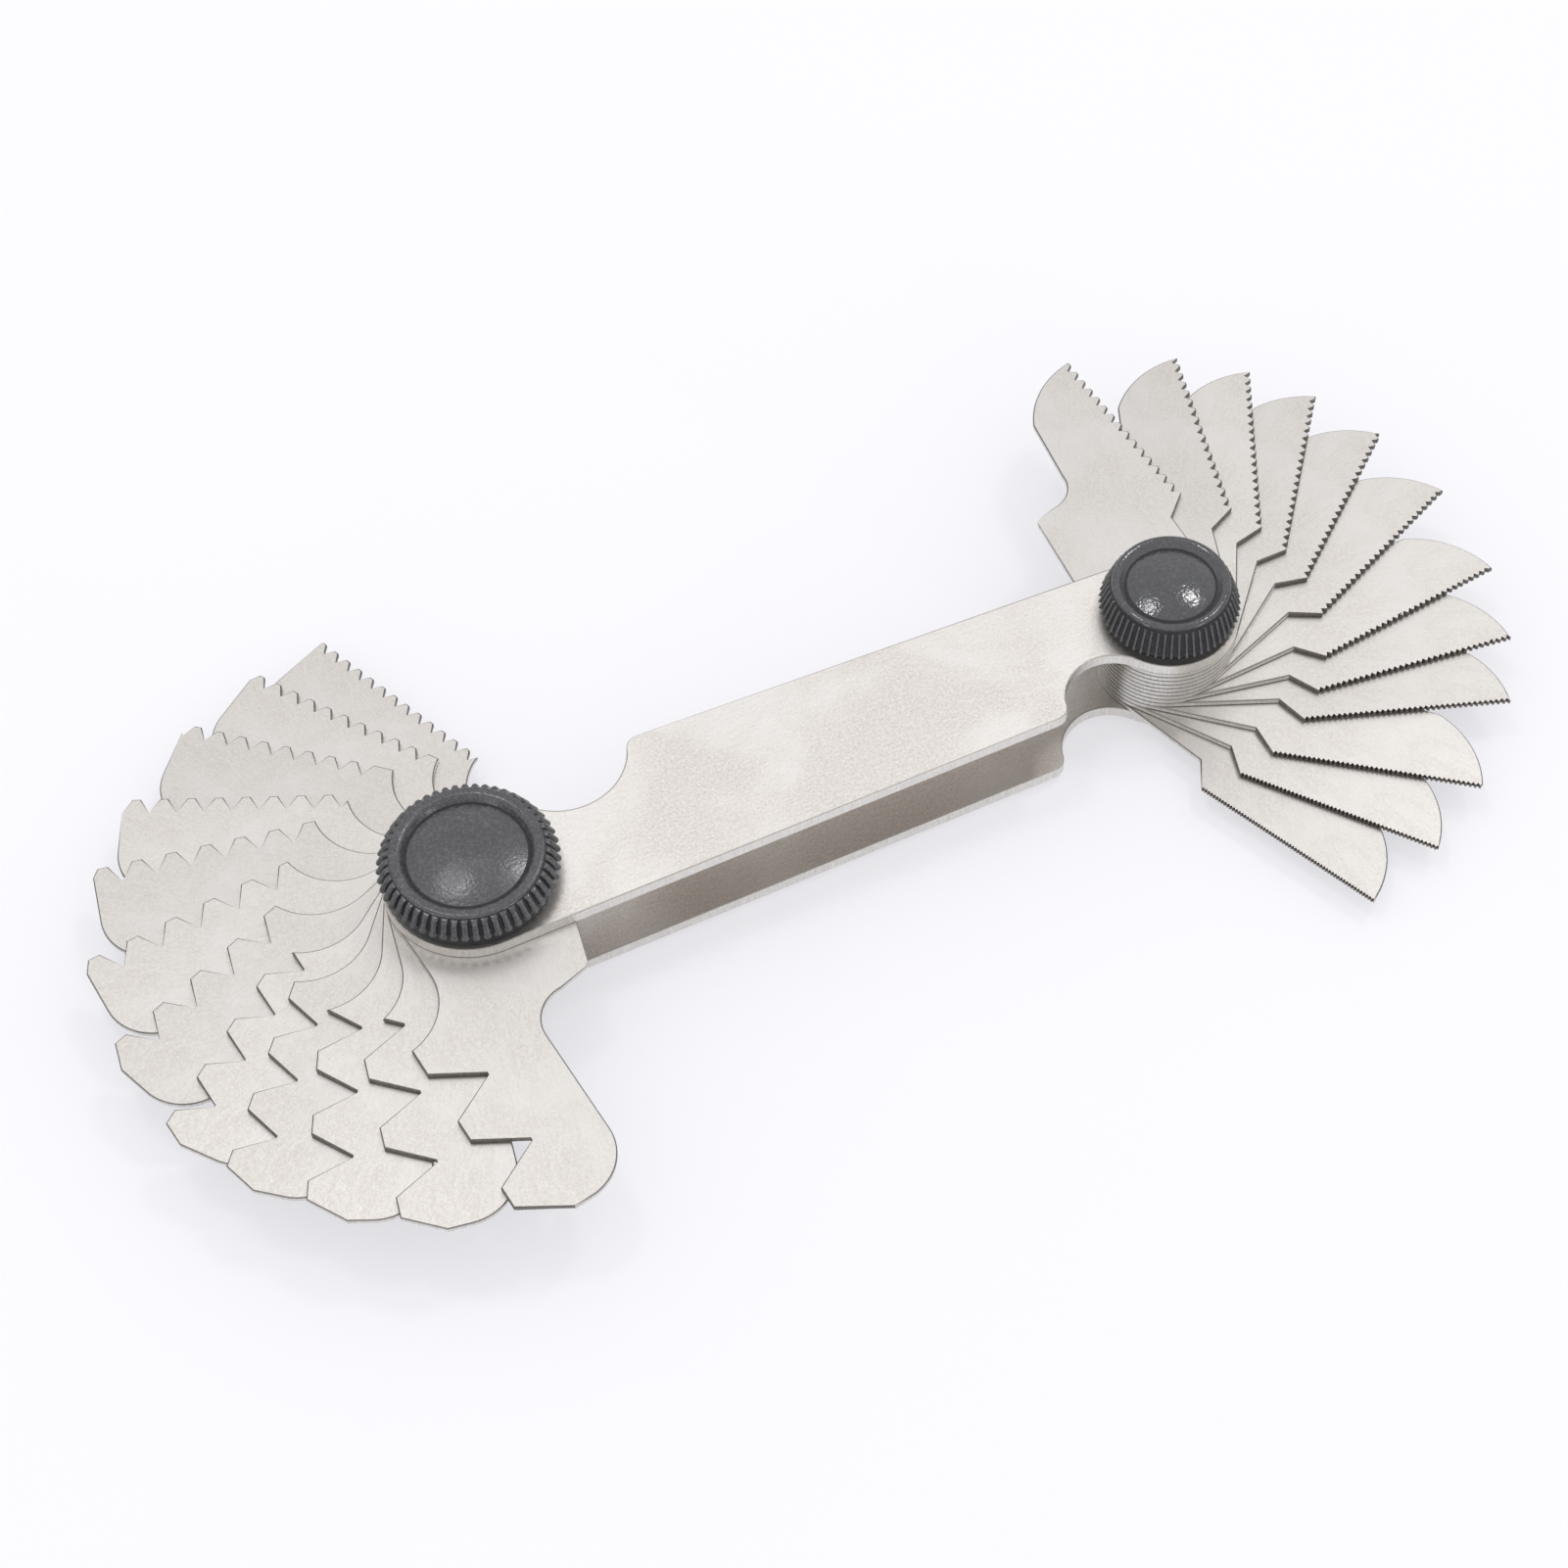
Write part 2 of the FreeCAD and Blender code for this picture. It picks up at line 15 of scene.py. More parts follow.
import bmesh
import bpy
from mathutils import Matrix, Vector
from mathutils.geometry import tessellate_polygon

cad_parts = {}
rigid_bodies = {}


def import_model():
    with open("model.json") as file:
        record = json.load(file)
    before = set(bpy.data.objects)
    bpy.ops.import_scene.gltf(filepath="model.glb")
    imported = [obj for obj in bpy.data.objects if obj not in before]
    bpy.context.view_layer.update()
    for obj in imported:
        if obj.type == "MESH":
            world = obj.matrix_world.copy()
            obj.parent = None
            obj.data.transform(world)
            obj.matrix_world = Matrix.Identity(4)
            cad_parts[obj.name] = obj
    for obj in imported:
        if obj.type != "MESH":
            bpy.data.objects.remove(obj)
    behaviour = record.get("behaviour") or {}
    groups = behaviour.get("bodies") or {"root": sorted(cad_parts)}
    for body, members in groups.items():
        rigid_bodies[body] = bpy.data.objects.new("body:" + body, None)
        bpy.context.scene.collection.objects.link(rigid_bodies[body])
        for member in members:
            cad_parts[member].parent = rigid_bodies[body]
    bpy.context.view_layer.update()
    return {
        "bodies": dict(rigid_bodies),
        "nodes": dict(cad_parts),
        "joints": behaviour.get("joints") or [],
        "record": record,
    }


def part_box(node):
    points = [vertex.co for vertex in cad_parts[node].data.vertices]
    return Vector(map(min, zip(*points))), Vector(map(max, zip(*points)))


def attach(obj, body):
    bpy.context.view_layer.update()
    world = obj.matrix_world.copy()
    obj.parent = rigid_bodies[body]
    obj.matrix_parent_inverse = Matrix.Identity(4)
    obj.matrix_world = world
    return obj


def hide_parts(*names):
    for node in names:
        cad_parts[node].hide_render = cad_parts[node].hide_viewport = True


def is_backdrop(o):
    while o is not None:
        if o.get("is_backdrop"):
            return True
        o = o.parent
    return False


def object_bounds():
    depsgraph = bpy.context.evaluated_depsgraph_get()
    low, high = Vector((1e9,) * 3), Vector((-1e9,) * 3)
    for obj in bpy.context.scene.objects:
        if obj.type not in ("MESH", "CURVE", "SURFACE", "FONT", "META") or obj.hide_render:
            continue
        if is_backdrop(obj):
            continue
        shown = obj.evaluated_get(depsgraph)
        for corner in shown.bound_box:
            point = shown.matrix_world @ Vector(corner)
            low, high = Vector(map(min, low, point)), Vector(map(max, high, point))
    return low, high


LOG = logging.getLogger("thread_pitch_gauge")

MM = 0.001
MERGE_DISTANCE = 1e-7
SHORT_SIDE_SHARE = 0.35
SHARPEST_MITRE = 0.35
TOOTH_CORNER = math.radians(45.0)
ROUND_CREASE = 50.0
FLAT_CREASE = 30.0
WAVE_PERIOD = 0.314
PLACE_ATTRIBUTE = "place_mm"
TONE_ATTRIBUTE = "tone"

Point = tuple[float, float]
Profile = list[Point]
Colour = tuple[float, float, float]
Socket = bpy.types.NodeSocket


class Slot(Enum):
    """The record's material slots."""

    PLATE = "plate_steel"
    LEAF = "leaf_steel"
    SCREW = "screw_steel"
    INSERT = "insert_brass"
    SATIN = "knob_satin"
    GLOSS = "knob_gloss"


class Surface(Enum):
    """The material slots of a stamped sheet; ROLL and TOOTH take darker finishes that paint shade along the
    outlines.
    """

    FACE = 0
    ROLL = 1
    WALL = 2
    TOOTH = 3


class Moulding(Enum):
    """The material slots of a knob: the skin that is handled, and the hollows, which a darker copy of the
    plastic paints with shade.
    """

    SKIN = 0
    HOLLOW = 1


# ---- node trees


class Tree:
    """A hand on a node tree: it adds nodes, fills their sockets and links them."""

    def __init__(self, tree: bpy.types.NodeTree) -> None:
        """Take hold of a node tree."""
        self.tree = tree

    def fill(self, socket: Socket, value: object) -> None:
        """Give an input socket a value, a colour or a link.

        Args:
            socket: the input socket.
            value: a number, a vector, a colour of three, or the output socket that feeds it.
        """
        if isinstance(value, Socket):
            self.tree.links.new(value, socket)
        elif isinstance(value, tuple) and socket.type == "RGBA":
            socket.default_value = (*value, 1.0)
        else:
            socket.default_value = value

    def add(self, kind: str, inputs: dict | None = None, **settings: object) -> bpy.types.Node:
        """Add a node.

        Args:
            kind: the node's type name.
            inputs: socket name or index to its value or to the socket that feeds it.
            settings: properties of the node itself.

        Returns:
            The new node.
        """
        node = self.tree.nodes.new(kind)
        for name, value in settings.items():
            setattr(node, name, value)
        for name, value in (inputs or {}).items():
            self.fill(node.inputs[name], value)
        return node

    def maths(self, operation: str, *values: object) -> Socket:
        """Add a maths node and return its result."""
        return self.add("ShaderNodeMath", dict(enumerate(values)), operation=operation).outputs[0]

    def spread(self, value: Socket, low: float, high: float) -> Socket:
        """Stretch a value of 0 to 1 over the range low to high and return it."""
        node = self.add("ShaderNodeMapRange", {"Value": value, "To Min": low, "To Max": high})
        return node.outputs["Result"]

    def mix(self, share: object, first: object, second: object, mode: str = "MIX") -> Socket:
        """Mix two colours.

        Args:
            share: how much of the second colour, a number or a socket.
            first: the colour at a share of 0.
            second: the colour at a share of 1.
            mode: the way of mixing.

        Returns:
            The mixed colour.
        """
        node = self.add("ShaderNodeMix", data_type="RGBA", blend_type=mode)
        self.fill(node.inputs[0], share)
        self.fill(node.inputs[6], first)
        self.fill(node.inputs[7], second)
        return node.outputs[2]

    def group(self, group: bpy.types.NodeTree, **inputs: object) -> Socket:
        """Place a shared group with its own values and return its one output."""
        node = self.add("ShaderNodeGroup", node_tree=group)
        for name, value in inputs.items():
            self.fill(node.inputs[name], value)
        return node.outputs[0]

    def seen_or_mirrored(self) -> Socket:
        """1 where a ray comes from the camera, a mirror or a glass, and 0 where it carries light."""
        path = self.add("ShaderNodeLightPath").outputs
        seen = self.maths("MAXIMUM", path["Is Camera Ray"], path["Is Glossy Ray"])
        return self.maths("MAXIMUM", seen, path["Is Transmission Ray"])

    def attribute(self, name: str, output: str) -> Socket:
        """Read one of the piece's own attributes."""
        return self.add("ShaderNodeAttribute", attribute_name=name).outputs[output]


FLOAT = "NodeSocketFloat"
VECTOR = "NodeSocketVector"
Filling = Callable[[Tree, bpy.types.Node], dict[str, Socket]]


def shader_group(
    name: str, inputs: Sequence[tuple[str, str]], output: str, filling: Filling
) -> bpy.types.NodeTree:
    """Build a shader node group that puts out one value.

    Args:
        name: the group's name.
        inputs: each input's name and socket type.
        output: the output's name.
        filling: builds the inside from the group's input node and returns the output's socket.

    Returns:
        The new node group.
    """
    group = bpy.data.node_groups.new(name, "ShaderNodeTree")
    for label, kind in inputs:
        group.interface.new_socket(name=label, in_out="INPUT", socket_type=kind)
    group.interface.new_socket(name=output, in_out="OUTPUT", socket_type=FLOAT)
    tree = Tree(group)
    tree.add("NodeGroupOutput", filling(tree, tree.add("NodeGroupInput")))
    return group


class Effects:
    """The shader node groups that the finishes share."""

    def __init__(self) -> None:
        """Build every group once."""
        self.grain = shader_group(
            "rolled_grain",
            [("Place", VECTOR), ("Along", FLOAT), ("Across", FLOAT), ("Speckle", FLOAT)],
            "Grain",
            self._grain,
        )
        self.clouds = shader_group(
            "cloudy_tarnish",
            [("Place", VECTOR), ("Scale", FLOAT), ("Low", FLOAT), ("High", FLOAT)],
            "Mask",
            self._clouds,
        )
        self.skin = shader_group(
            "moulded_skin", [("Place", VECTOR), ("Scale", FLOAT)], "Height", self._skin
        )

    @staticmethod
    def _grain(tree: Tree, given: bpy.types.Node) -> dict[str, Socket]:
        """Short streaks along the sheet, broken up by a fine speckle."""
        stretch = tree.add(
            "ShaderNodeCombineXYZ",
            {"X": given.outputs["Along"], "Y": given.outputs["Across"], "Z": 1.0},
        )
        place = tree.add(
            "ShaderNodeVectorMath",
            {0: given.outputs["Place"], 1: stretch.outputs[0]},
            operation="MULTIPLY",
        )
        streaks = tree.add(
            "ShaderNodeTexNoise",
            {"Vector": place.outputs[0], "Scale": 1.0, "Detail": 4.0, "Roughness": 0.62, "Distortion": 0.8},
        )
        speckle = tree.add(
            "ShaderNodeTexNoise",
            {"Vector": given.outputs["Place"], "Scale": given.outputs["Speckle"], "Detail": 2.0},
        )
        total = tree.maths("ADD", streaks.outputs["Fac"], speckle.outputs["Fac"])
        grain = tree.add("ShaderNodeMapRange", {"Value": total, "From Min": 0.68, "From Max": 1.32})
        return {"Grain": grain.outputs["Result"]}

    @staticmethod
    def _clouds(tree: Tree, given: bpy.types.Node) -> dict[str, Socket]:
        """Broad soft patches, such as heat and handling leave on bright steel."""
        noise = tree.add(
            "ShaderNodeTexNoise",
            {
                "Vector": given.outputs["Place"],
                "Scale": given.outputs["Scale"],
                "Detail": 3.0,
                "Distortion": 0.6,
            },
        )
        mask = tree.add(
            "ShaderNodeMapRange",
            {
                "Value": noise.outputs["Fac"],
                "From Min": given.outputs["Low"],
                "From Max": given.outputs["High"],
            },
            interpolation_type="SMOOTHSTEP",
        )
        return {"Mask": mask.outputs["Result"]}

    @staticmethod
    def _skin(tree: Tree, given: bpy.types.Node) -> dict[str, Socket]:
        """The fine orange peel of a plastic moulding."""
        sockets = {"Vector": given.outputs["Place"], "Scale": given.outputs["Scale"]}
        cells = tree.add("ShaderNodeTexVoronoi", sockets, feature="SMOOTH_F1")
        noise = tree.add("ShaderNodeTexNoise", {**sockets, "Detail": 3.0})
        half = tree.maths("MULTIPLY", cells.outputs["Distance"], 0.6)
        return {"Height": tree.maths("ADD", half, noise.outputs["Fac"])}


# ---- finishes


class Finish:
    """A finish: it starts a material and dresses its Principled shader."""

    name: str

    def build(self, effects: Effects) -> bpy.types.Material:
        """Build the material.

        Args:
            effects: the shared node groups.

        Returns:
            The finished material.
        """
        material = bpy.data.materials.new(self.name)
        material.use_nodes = True
        self.dress(Tree(material.node_tree), material.node_tree.nodes["Principled BSDF"], effects)
        return material

    def dress(self, tree: Tree, shader: bpy.types.Node, effects: Effects) -> None:
        """Fill the shader's sockets."""
        raise NotImplementedError

    @staticmethod
    def place(tree: Tree) -> Socket:
        """Read a point's place in the object, in millimetres."""
        coords = tree.add("ShaderNodeTexCoord").outputs["Object"]
        sockets = {0: coords, "Scale": 1.0 / MM}
        return tree.add("ShaderNodeVectorMath", sockets, operation="SCALE").outputs[0]

    @staticmethod
    def bump(tree: Tree, shader: bpy.types.Node, height: Socket, strength: float, depth: float) -> None:
        """Raise the shader's surface by a height of 0 to 1, which stands for depth metres."""
        sockets = {"Height": height, "Strength": strength, "Distance": depth}
        tree.fill(shader.inputs["Normal"], tree.add("ShaderNodeBump", sockets).outputs["Normal"])


@dataclass(frozen=True)
class SheetFinish(Finish):
    """Satin rolled steel sheet: short streaks along the piece, and mottled warm patches."""

    name: str
    bright: Colour
    dull: Colour
    warm: Colour
    warm_share: float
    along: float
    across: float
    speckle: float
    roughness: tuple[float, float]
    grain_depth: float
    patch_scale: float
    mottle_along: float = 3.6
    mottle_across: float = 5.0
    grain_bump: float = 0.5

    def dress(self, tree: Tree, shader: bpy.types.Node, effects: Effects) -> None:
        """Colour the sheet by its grain, its patches and its own tone."""
        place = tree.attribute(PLACE_ATTRIBUTE, "Vector")
        streaks = {"Along": self.along, "Across": self.across, "Speckle": self.speckle}
        grain = tree.group(effects.grain, Place=place, **streaks)
        patches = tree.group(effects.clouds, Place=place, Scale=self.patch_scale, Low=0.40, High=0.62)
        mottling = {"Along": self.mottle_along, "Across": self.mottle_across, "Speckle": self.speckle}
        mottle = tree.group(effects.grain, Place=place, **mottling)
        stains = tree.maths("MULTIPLY", patches, tree.spread(mottle, self.warm_share, 0.0))
        metal = tree.mix(grain, self.dull, self.bright)
        stained = tree.mix(stains, metal, self.warm, "MULTIPLY")
        tone = tree.attribute(TONE_ATTRIBUTE, "Fac")
        grey = tree.add("ShaderNodeCombineColor", {0: tone, 1: tone, 2: tone}).outputs[0]
        toned = tree.mix(1.0, stained, grey, "MULTIPLY")
        tree.fill(shader.inputs["Base Color"], toned)
        tree.fill(shader.inputs["Roughness"], tree.spread(grain, self.roughness[1], self.roughness[0]))
        shader.inputs["Metallic"].default_value = 1.0
        self.bump(tree, shader, grain, self.grain_bump, self.grain_depth)


@dataclass(frozen=True)
class CutEdgeFinish(Finish):
    """Metal that was cut or broken over: a fine grain of drag marks, between a bright and a dull tone."""

    name: str
    bright: Colour
    dull: Colour
    roughness: float
    drag: float = 9.0
    speckle: float = 14.0
    dull_roughness: float = 0.1
    drag_bump: float = 0.5
    drag_depth: float = 0.01 * MM

    def dress(self, tree: Tree, shader: bpy.types.Node, effects: Effects) -> None:
        """Colour the edge by its drag marks."""
        scales = {"Along": self.drag, "Across": self.drag, "Speckle": self.speckle}
        drag = tree.group(effects.grain, Place=self.place(tree), **scales)
        roughness = tree.spread(drag, self.roughness + self.dull_roughness, self.roughness)
        tree.fill(shader.inputs["Base Color"], tree.mix(drag, self.dull, self.bright))
        tree.fill(shader.inputs["Roughness"], roughness)
        shader.inputs["Metallic"].default_value = 1.0
        self.bump(tree, shader, drag, self.drag_bump, self.drag_depth)


@dataclass(frozen=True)
class TurnedFinish(Finish):
    """Lathe turned metal: fine rings about the part's own axis."""

    name: str
    bright: Colour
    dull: Colour
    ring_pitch: float
    roughness: float
    ring_shade: float = 0.6
    ring_bump: float = 0.4
    ring_depth: float = 0.006 * MM
    tarnish_scale: float = 0.3
    tarnish_share: float = 0.5
    tarnish_roughness: float = 0.15

    def dress(self, tree: Tree, shader: bpy.types.Node, effects: Effects) -> None:
        """Colour the metal by its tool rings and a light tarnish."""
        place = tree.attribute(PLACE_ATTRIBUTE, "Vector")
        scale = WAVE_PERIOD / self.ring_pitch
        sockets = {"Vector": place, "Scale": scale, "Distortion": 0.3, "Detail": 2.0}
        rings = tree.add("ShaderNodeTexWave", sockets, wave_type="RINGS", rings_direction="Z")
        tarnish = tree.group(effects.clouds, Place=place, Scale=self.tarnish_scale, Low=0.4, High=0.75)
        share = tree.maths("MULTIPLY", tarnish, self.tarnish_share)
        lit = tree.mix(tree.spread(rings.outputs["Fac"], self.ring_shade, 1.0), self.dull, self.bright)
        roughness = tree.spread(tarnish, self.roughness, self.roughness + self.tarnish_roughness)
        tree.fill(shader.inputs["Base Color"], tree.mix(share, lit, self.dull))
        tree.fill(shader.inputs["Roughness"], roughness)
        shader.inputs["Metallic"].default_value = 1.0
        self.bump(tree, shader, rings.outputs["Fac"], self.ring_bump, self.ring_depth)


@dataclass(frozen=True)
class MouldingFinish(Finish):
    """Black moulded plastic: a fine orange peel, a pale speckle and soft scuffs."""

    name: str
    body: Colour
    worn: Colour
    roughness: tuple[float, float]
    skin_scale: float
    skin_depth: float
    gloss: float
    skin_bump: float = 0.6
    scuff_scale: float = 0.45
    least_speckle: float = 0.6

    def dress(self, tree: Tree, shader: bpy.types.Node, effects: Effects) -> None:
        """Colour the plastic by the speckle of its skin and by soft paler scuffs."""
        place = self.place(tree)
        skin = tree.group(effects.skin, Place=place, Scale=self.skin_scale)
        scuffs = tree.group(effects.clouds, Place=place, Scale=self.scuff_scale, Low=0.42, High=0.72)
        speckle = tree.group(effects.clouds, Place=place, Scale=self.skin_scale, Low=0.40, High=0.68)
        share = tree.maths("MULTIPLY", speckle, tree.spread(scuffs, self.least_speckle, 1.0))
        tree.fill(shader.inputs["Base Color"], tree.mix(share, self.body, self.worn))
        tree.fill(shader.inputs["Roughness"], tree.spread(scuffs, *self.roughness))
        shader.inputs["Specular IOR Level"].default_value = self.gloss
        self.bump(tree, shader, skin, self.skin_bump, self.skin_depth)


@dataclass(frozen=True)
class GroundFinish(Finish):
    """The pale table under the gauge, which shines through its own shadows a little."""

    name: str
    pale: Colour
    shade: Colour
    glow: Colour
    glow_share: float
    cloud_scale: float = 0.02

    def dress(self, tree: Tree, shader: bpy.types.Node, effects: Effects) -> None:
        """Colour the table with broad, barely seen clouds."""
        place = self.place(tree)
        clouds = tree.group(effects.clouds, Place=place, Scale=self.cloud_scale, Low=0.3, High=0.8)
        tree.fill(shader.inputs["Base Color"], tree.mix(clouds, self.pale, self.shade))
        shader.inputs["Roughness"].default_value = 0.9
        shader.inputs["Specular IOR Level"].default_value = 0.0
        share = tree.maths("MULTIPLY", tree.seen_or_mirrored(), self.glow_share)
        glow = tree.add("ShaderNodeEmission", {"Color": self.glow, "Strength": 1.0})
        both = tree.add("ShaderNodeMixShader", {0: share, 1: shader.outputs[0], 2: glow.outputs[0]})
        tree.fill(tree.tree.nodes["Material Output"].inputs["Surface"], both.outputs[0])


PLATE_FACE = SheetFinish(
    name="plate_satin_steel",
    bright=(0.83, 0.80, 0.765),
    dull=(0.68, 0.653, 0.622),
    warm=(0.82, 0.785, 0.755),
    warm_share=1.0,
    along=1.1,
    across=4.5,
    speckle=5.0,
    roughness=(0.30, 0.42),
    grain_depth=0.006 * MM,
    patch_scale=0.10,
)
LEAF_FACE = SheetFinish(
    name="leaf_satin_steel",
    bright=(0.67, 0.65, 0.62),
    dull=(0.60, 0.58, 0.555),
    warm=(0.90, 0.86, 0.83),
    warm_share=0.9,
    along=0.8,
    across=3.0,
    speckle=6.0,
    roughness=(0.34, 0.44),
    grain_depth=0.003 * MM,
    patch_scale=0.13,
)
# Painted shade: the plate's rolled edge is coloured dark to stand for the shade and the dark reflection along
# its outline.
PLATE_ROLL_SHADE = CutEdgeFinish("plate_rolled_edge_painted_shade", (0.50, 0.48, 0.45), (0.34, 0.32, 0.30), 0.35)
PLATE_WALL = CutEdgeFinish("plate_cut_edge", (0.88, 0.86, 0.83), (0.58, 0.56, 0.53), 0.3)
# Painted shade: the leaf's rolled edge is coloured near black to draw the shadow line that each leaf casts
# along its outline.
LEAF_ROLL_SHADE = CutEdgeFinish("leaf_rolled_edge_painted_shade", (0.30, 0.29, 0.27), (0.16, 0.155, 0.145), 0.35)
LEAF_WALL = CutEdgeFinish("leaf_cut_edge", (0.86, 0.84, 0.81), (0.50, 0.48, 0.46), 0.3)
# Painted shade: the thread flanks are coloured near black to stand for the shade in the grooves between the
# teeth.
LEAF_TOOTH_SHADE = CutEdgeFinish("leaf_thread_flank_painted_shade", (0.26, 0.24, 0.22), (0.11, 0.10, 0.09), 0.4)
SCREW_METAL = TurnedFinish("turned_screw_steel", (0.72, 0.71, 0.69), (0.50, 0.49, 0.47), 0.12, 0.25)
INSERT_METAL = CutEdgeFinish("insert_brass", (0.80, 0.63, 0.32), (0.58, 0.43, 0.20), 0.25)
SATIN_PLASTIC = MouldingFinish(
    name="satin_black_moulding",
    body=(0.022, 0.022, 0.026),
    worn=(0.085, 0.085, 0.095),
    roughness=(0.24, 0.34),
    skin_scale=4.5,
    skin_depth=0.028 * MM,
    gloss=1.0,
)
GLOSS_PLASTIC = MouldingFinish(
    name="gloss_black_moulding",
    body=(0.028, 0.029, 0.033),
    worn=(0.070, 0.071, 0.078),
    roughness=(0.08, 0.14),
    skin_scale=4.5,
    skin_depth=0.03 * MM,
    gloss=1.0,
)
# Painted shade: a near black, rougher copy of the plastic for the knob's collar, the valleys between the ribs
# and the ring groove.
HOLLOW_PAINTED_SHADE = MouldingFinish(
    name="hollow_painted_shade_moulding",
    body=(0.012, 0.012, 0.014),
    worn=(0.026, 0.026, 0.030),
    roughness=(0.5, 0.6),
    skin_scale=4.0,
    skin_depth=0.02 * MM,
    gloss=0.4,
)
TABLE_TOP = GroundFinish("pale_table", (0.955, 0.955, 0.975), (0.945, 0.945, 0.968), (0.95, 0.945, 0.99), 0.5)


class Finishes:
    """Every material of the gauge, built once."""

    def __init__(self) -> None:
        """Build the materials from their finishes."""
        effects = Effects()
        plate = (PLATE_FACE, PLATE_ROLL_SHADE, PLATE_WALL, PLATE_WALL)
        leaf = (LEAF_FACE, LEAF_ROLL_SHADE, LEAF_WALL, LEAF_TOOTH_SHADE)
        self.plate = self.each(plate, effects)
        self.leaf = self.each(leaf, effects)
        self.screw = SCREW_METAL.build(effects)
        self.insert = INSERT_METAL.build(effects)
        hollow = HOLLOW_PAINTED_SHADE.build(effects)
        self.satin = [SATIN_PLASTIC.build(effects), hollow]
        self.gloss = [GLOSS_PLASTIC.build(effects), hollow]
        self.table = TABLE_TOP.build(effects)

    @staticmethod
    def each(finishes: Sequence[Finish], effects: Effects) -> list[bpy.types.Material]:
        """Build the materials of one piece's slots, each finish once."""
        built = {}
        for finish in finishes:
            if finish.name not in built:
                built[finish.name] = finish.build(effects)
        return [built[finish.name] for finish in finishes]


# ---- mesh helpers


def axis_of(node: str) -> tuple[float, float]:
    """Where the upright axis of a round CAD node stands, as x and y."""
    low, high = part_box(node)
    return (low.x + high.x) / 2.0, (low.y + high.y) / 2.0


def add_object(name: str, mesh: bpy.types.Mesh) -> bpy.types.Object:
    """Link a mesh to the scene as an object at the origin."""
    piece = bpy.data.objects.new(name, mesh)
    bpy.context.scene.collection.objects.link(piece)
    return piece


def finish_mesh(
    name: str, bm: bmesh.types.BMesh, materials: Sequence[bpy.types.Material], crease: float
) -> bpy.types.Object:
    """Turn a working mesh into a piece with smooth shading between sharp edges.

    Args:
        name: the piece's name.
        bm: the working mesh, which is freed.
        materials: the piece's materials, in slot order.
        crease: the angle in degrees above which an edge stays sharp.

    Returns:
        The new object.
    """
    limit = math.radians(crease)
    bm.normal_update()
    for face in bm.faces:
        face.smooth = True
    for edge in bm.edges:
        slots = {face.material_index for face in edge.link_faces}
        if len(slots) > 1 or edge.calc_face_angle(0.0) > limit:
            edge.smooth = False
    mesh = bpy.data.meshes.new(name)
    bm.to_mesh(mesh)
    bm.free()
    for material in materials:
        mesh.materials.append(material)
    return add_object(name, mesh)


def store_places(mesh: bpy.types.Mesh, pivot: Vector, heading: float) -> None:
    """Store each point's place about a pivot, in millimetres, with +X along the heading."""
    turn = Matrix.Rotation(-heading, 3, "Z")
    places = mesh.attributes.new(PLACE_ATTRIBUTE, "FLOAT_VECTOR", "POINT")
    for index, vertex in enumerate(mesh.vertices):
        places.data[index].vector = turn @ (vertex.co - pivot) / MM


def spin_profile(
    bm: bmesh.types.BMesh, profile: Profile, centre: Vector, steps: int, hollows: Sequence[bool] = (False,)
) -> None:
    """Revolve a closed profile about an upright axis.

    Args:
        bm: the mesh to add to.
        profile: (radius, height) pairs in millimetres, going round the section once.
        centre: the foot of the axis, in metres.
        steps: how many segments go round.
        hollows: which of the profile's sides take the second material, the painted shade of the hollows.
    """
    rings = []
    for radius, height in profile:
        ring = []
        for step in range(steps):
            turn = math.tau * step / steps
            offset = Vector((radius * math.cos(turn), radius * math.sin(turn), height)) * MM
            ring.append(bm.verts.new(centre + offset))
        rings.append(ring)
    for index, ring in enumerate(rings):
        above = rings[(index + 1) % len(rings)]
        for step in range(steps):
            after = (step + 1) % steps
            face = bm.faces.new((ring[step], ring[after], above[after], above[step]))
            surface = Moulding.HOLLOW if hollows[index % len(hollows)] else Moulding.SKIN
            face.material_index = surface.value
    bmesh.ops.remove_doubles(bm, verts=bm.verts, dist=MERGE_DISTANCE)
    bmesh.ops.recalc_face_normals(bm, faces=bm.faces)


def rounded(corner: Point, before: Point, after: Point, radius: float, steps: int) -> Profile:
    """Round one corner of a profile.

    Args:
        corner: the corner.
        before: the point before it.
        after: the point after it.
        radius: the rounding's radius, in the profile's units.
        steps: how many straight steps make the rounding.

    Returns:
        The points that take the corner's place.
    """
    here = Vector(corner)
    back = (Vector(before) - here).normalized()
    on = (Vector(after) - here).normalized()
    half = back.angle(on) / 2.0
    centre = here + (back + on).normalized() * (radius / math.sin(half))
    reach = radius / math.tan(half)
    start = here + back * reach - centre
    end = here + on * reach - centre
    sweep = start.angle_signed(end)
    points = []
    for step in range(steps + 1):
        spoke = start.copy()
        spoke.rotate(Matrix.Rotation(-sweep * step / steps, 2))
        points.append(tuple(centre + spoke))
    return points


def dome(radius: float, floor: float, rise: float, steps: int) -> Profile:
    """A low dome's profile from its rim to the axis, in millimetres."""
    sphere = (radius * radius + rise * rise) / (2.0 * rise)
    points = []
    for step in range(steps + 1):
        across = radius * (1.0 - step / steps)
        points.append((across, floor + math.sqrt(sphere * sphere - across * across) - sphere + rise))
    return points


# ---- stamped sheets


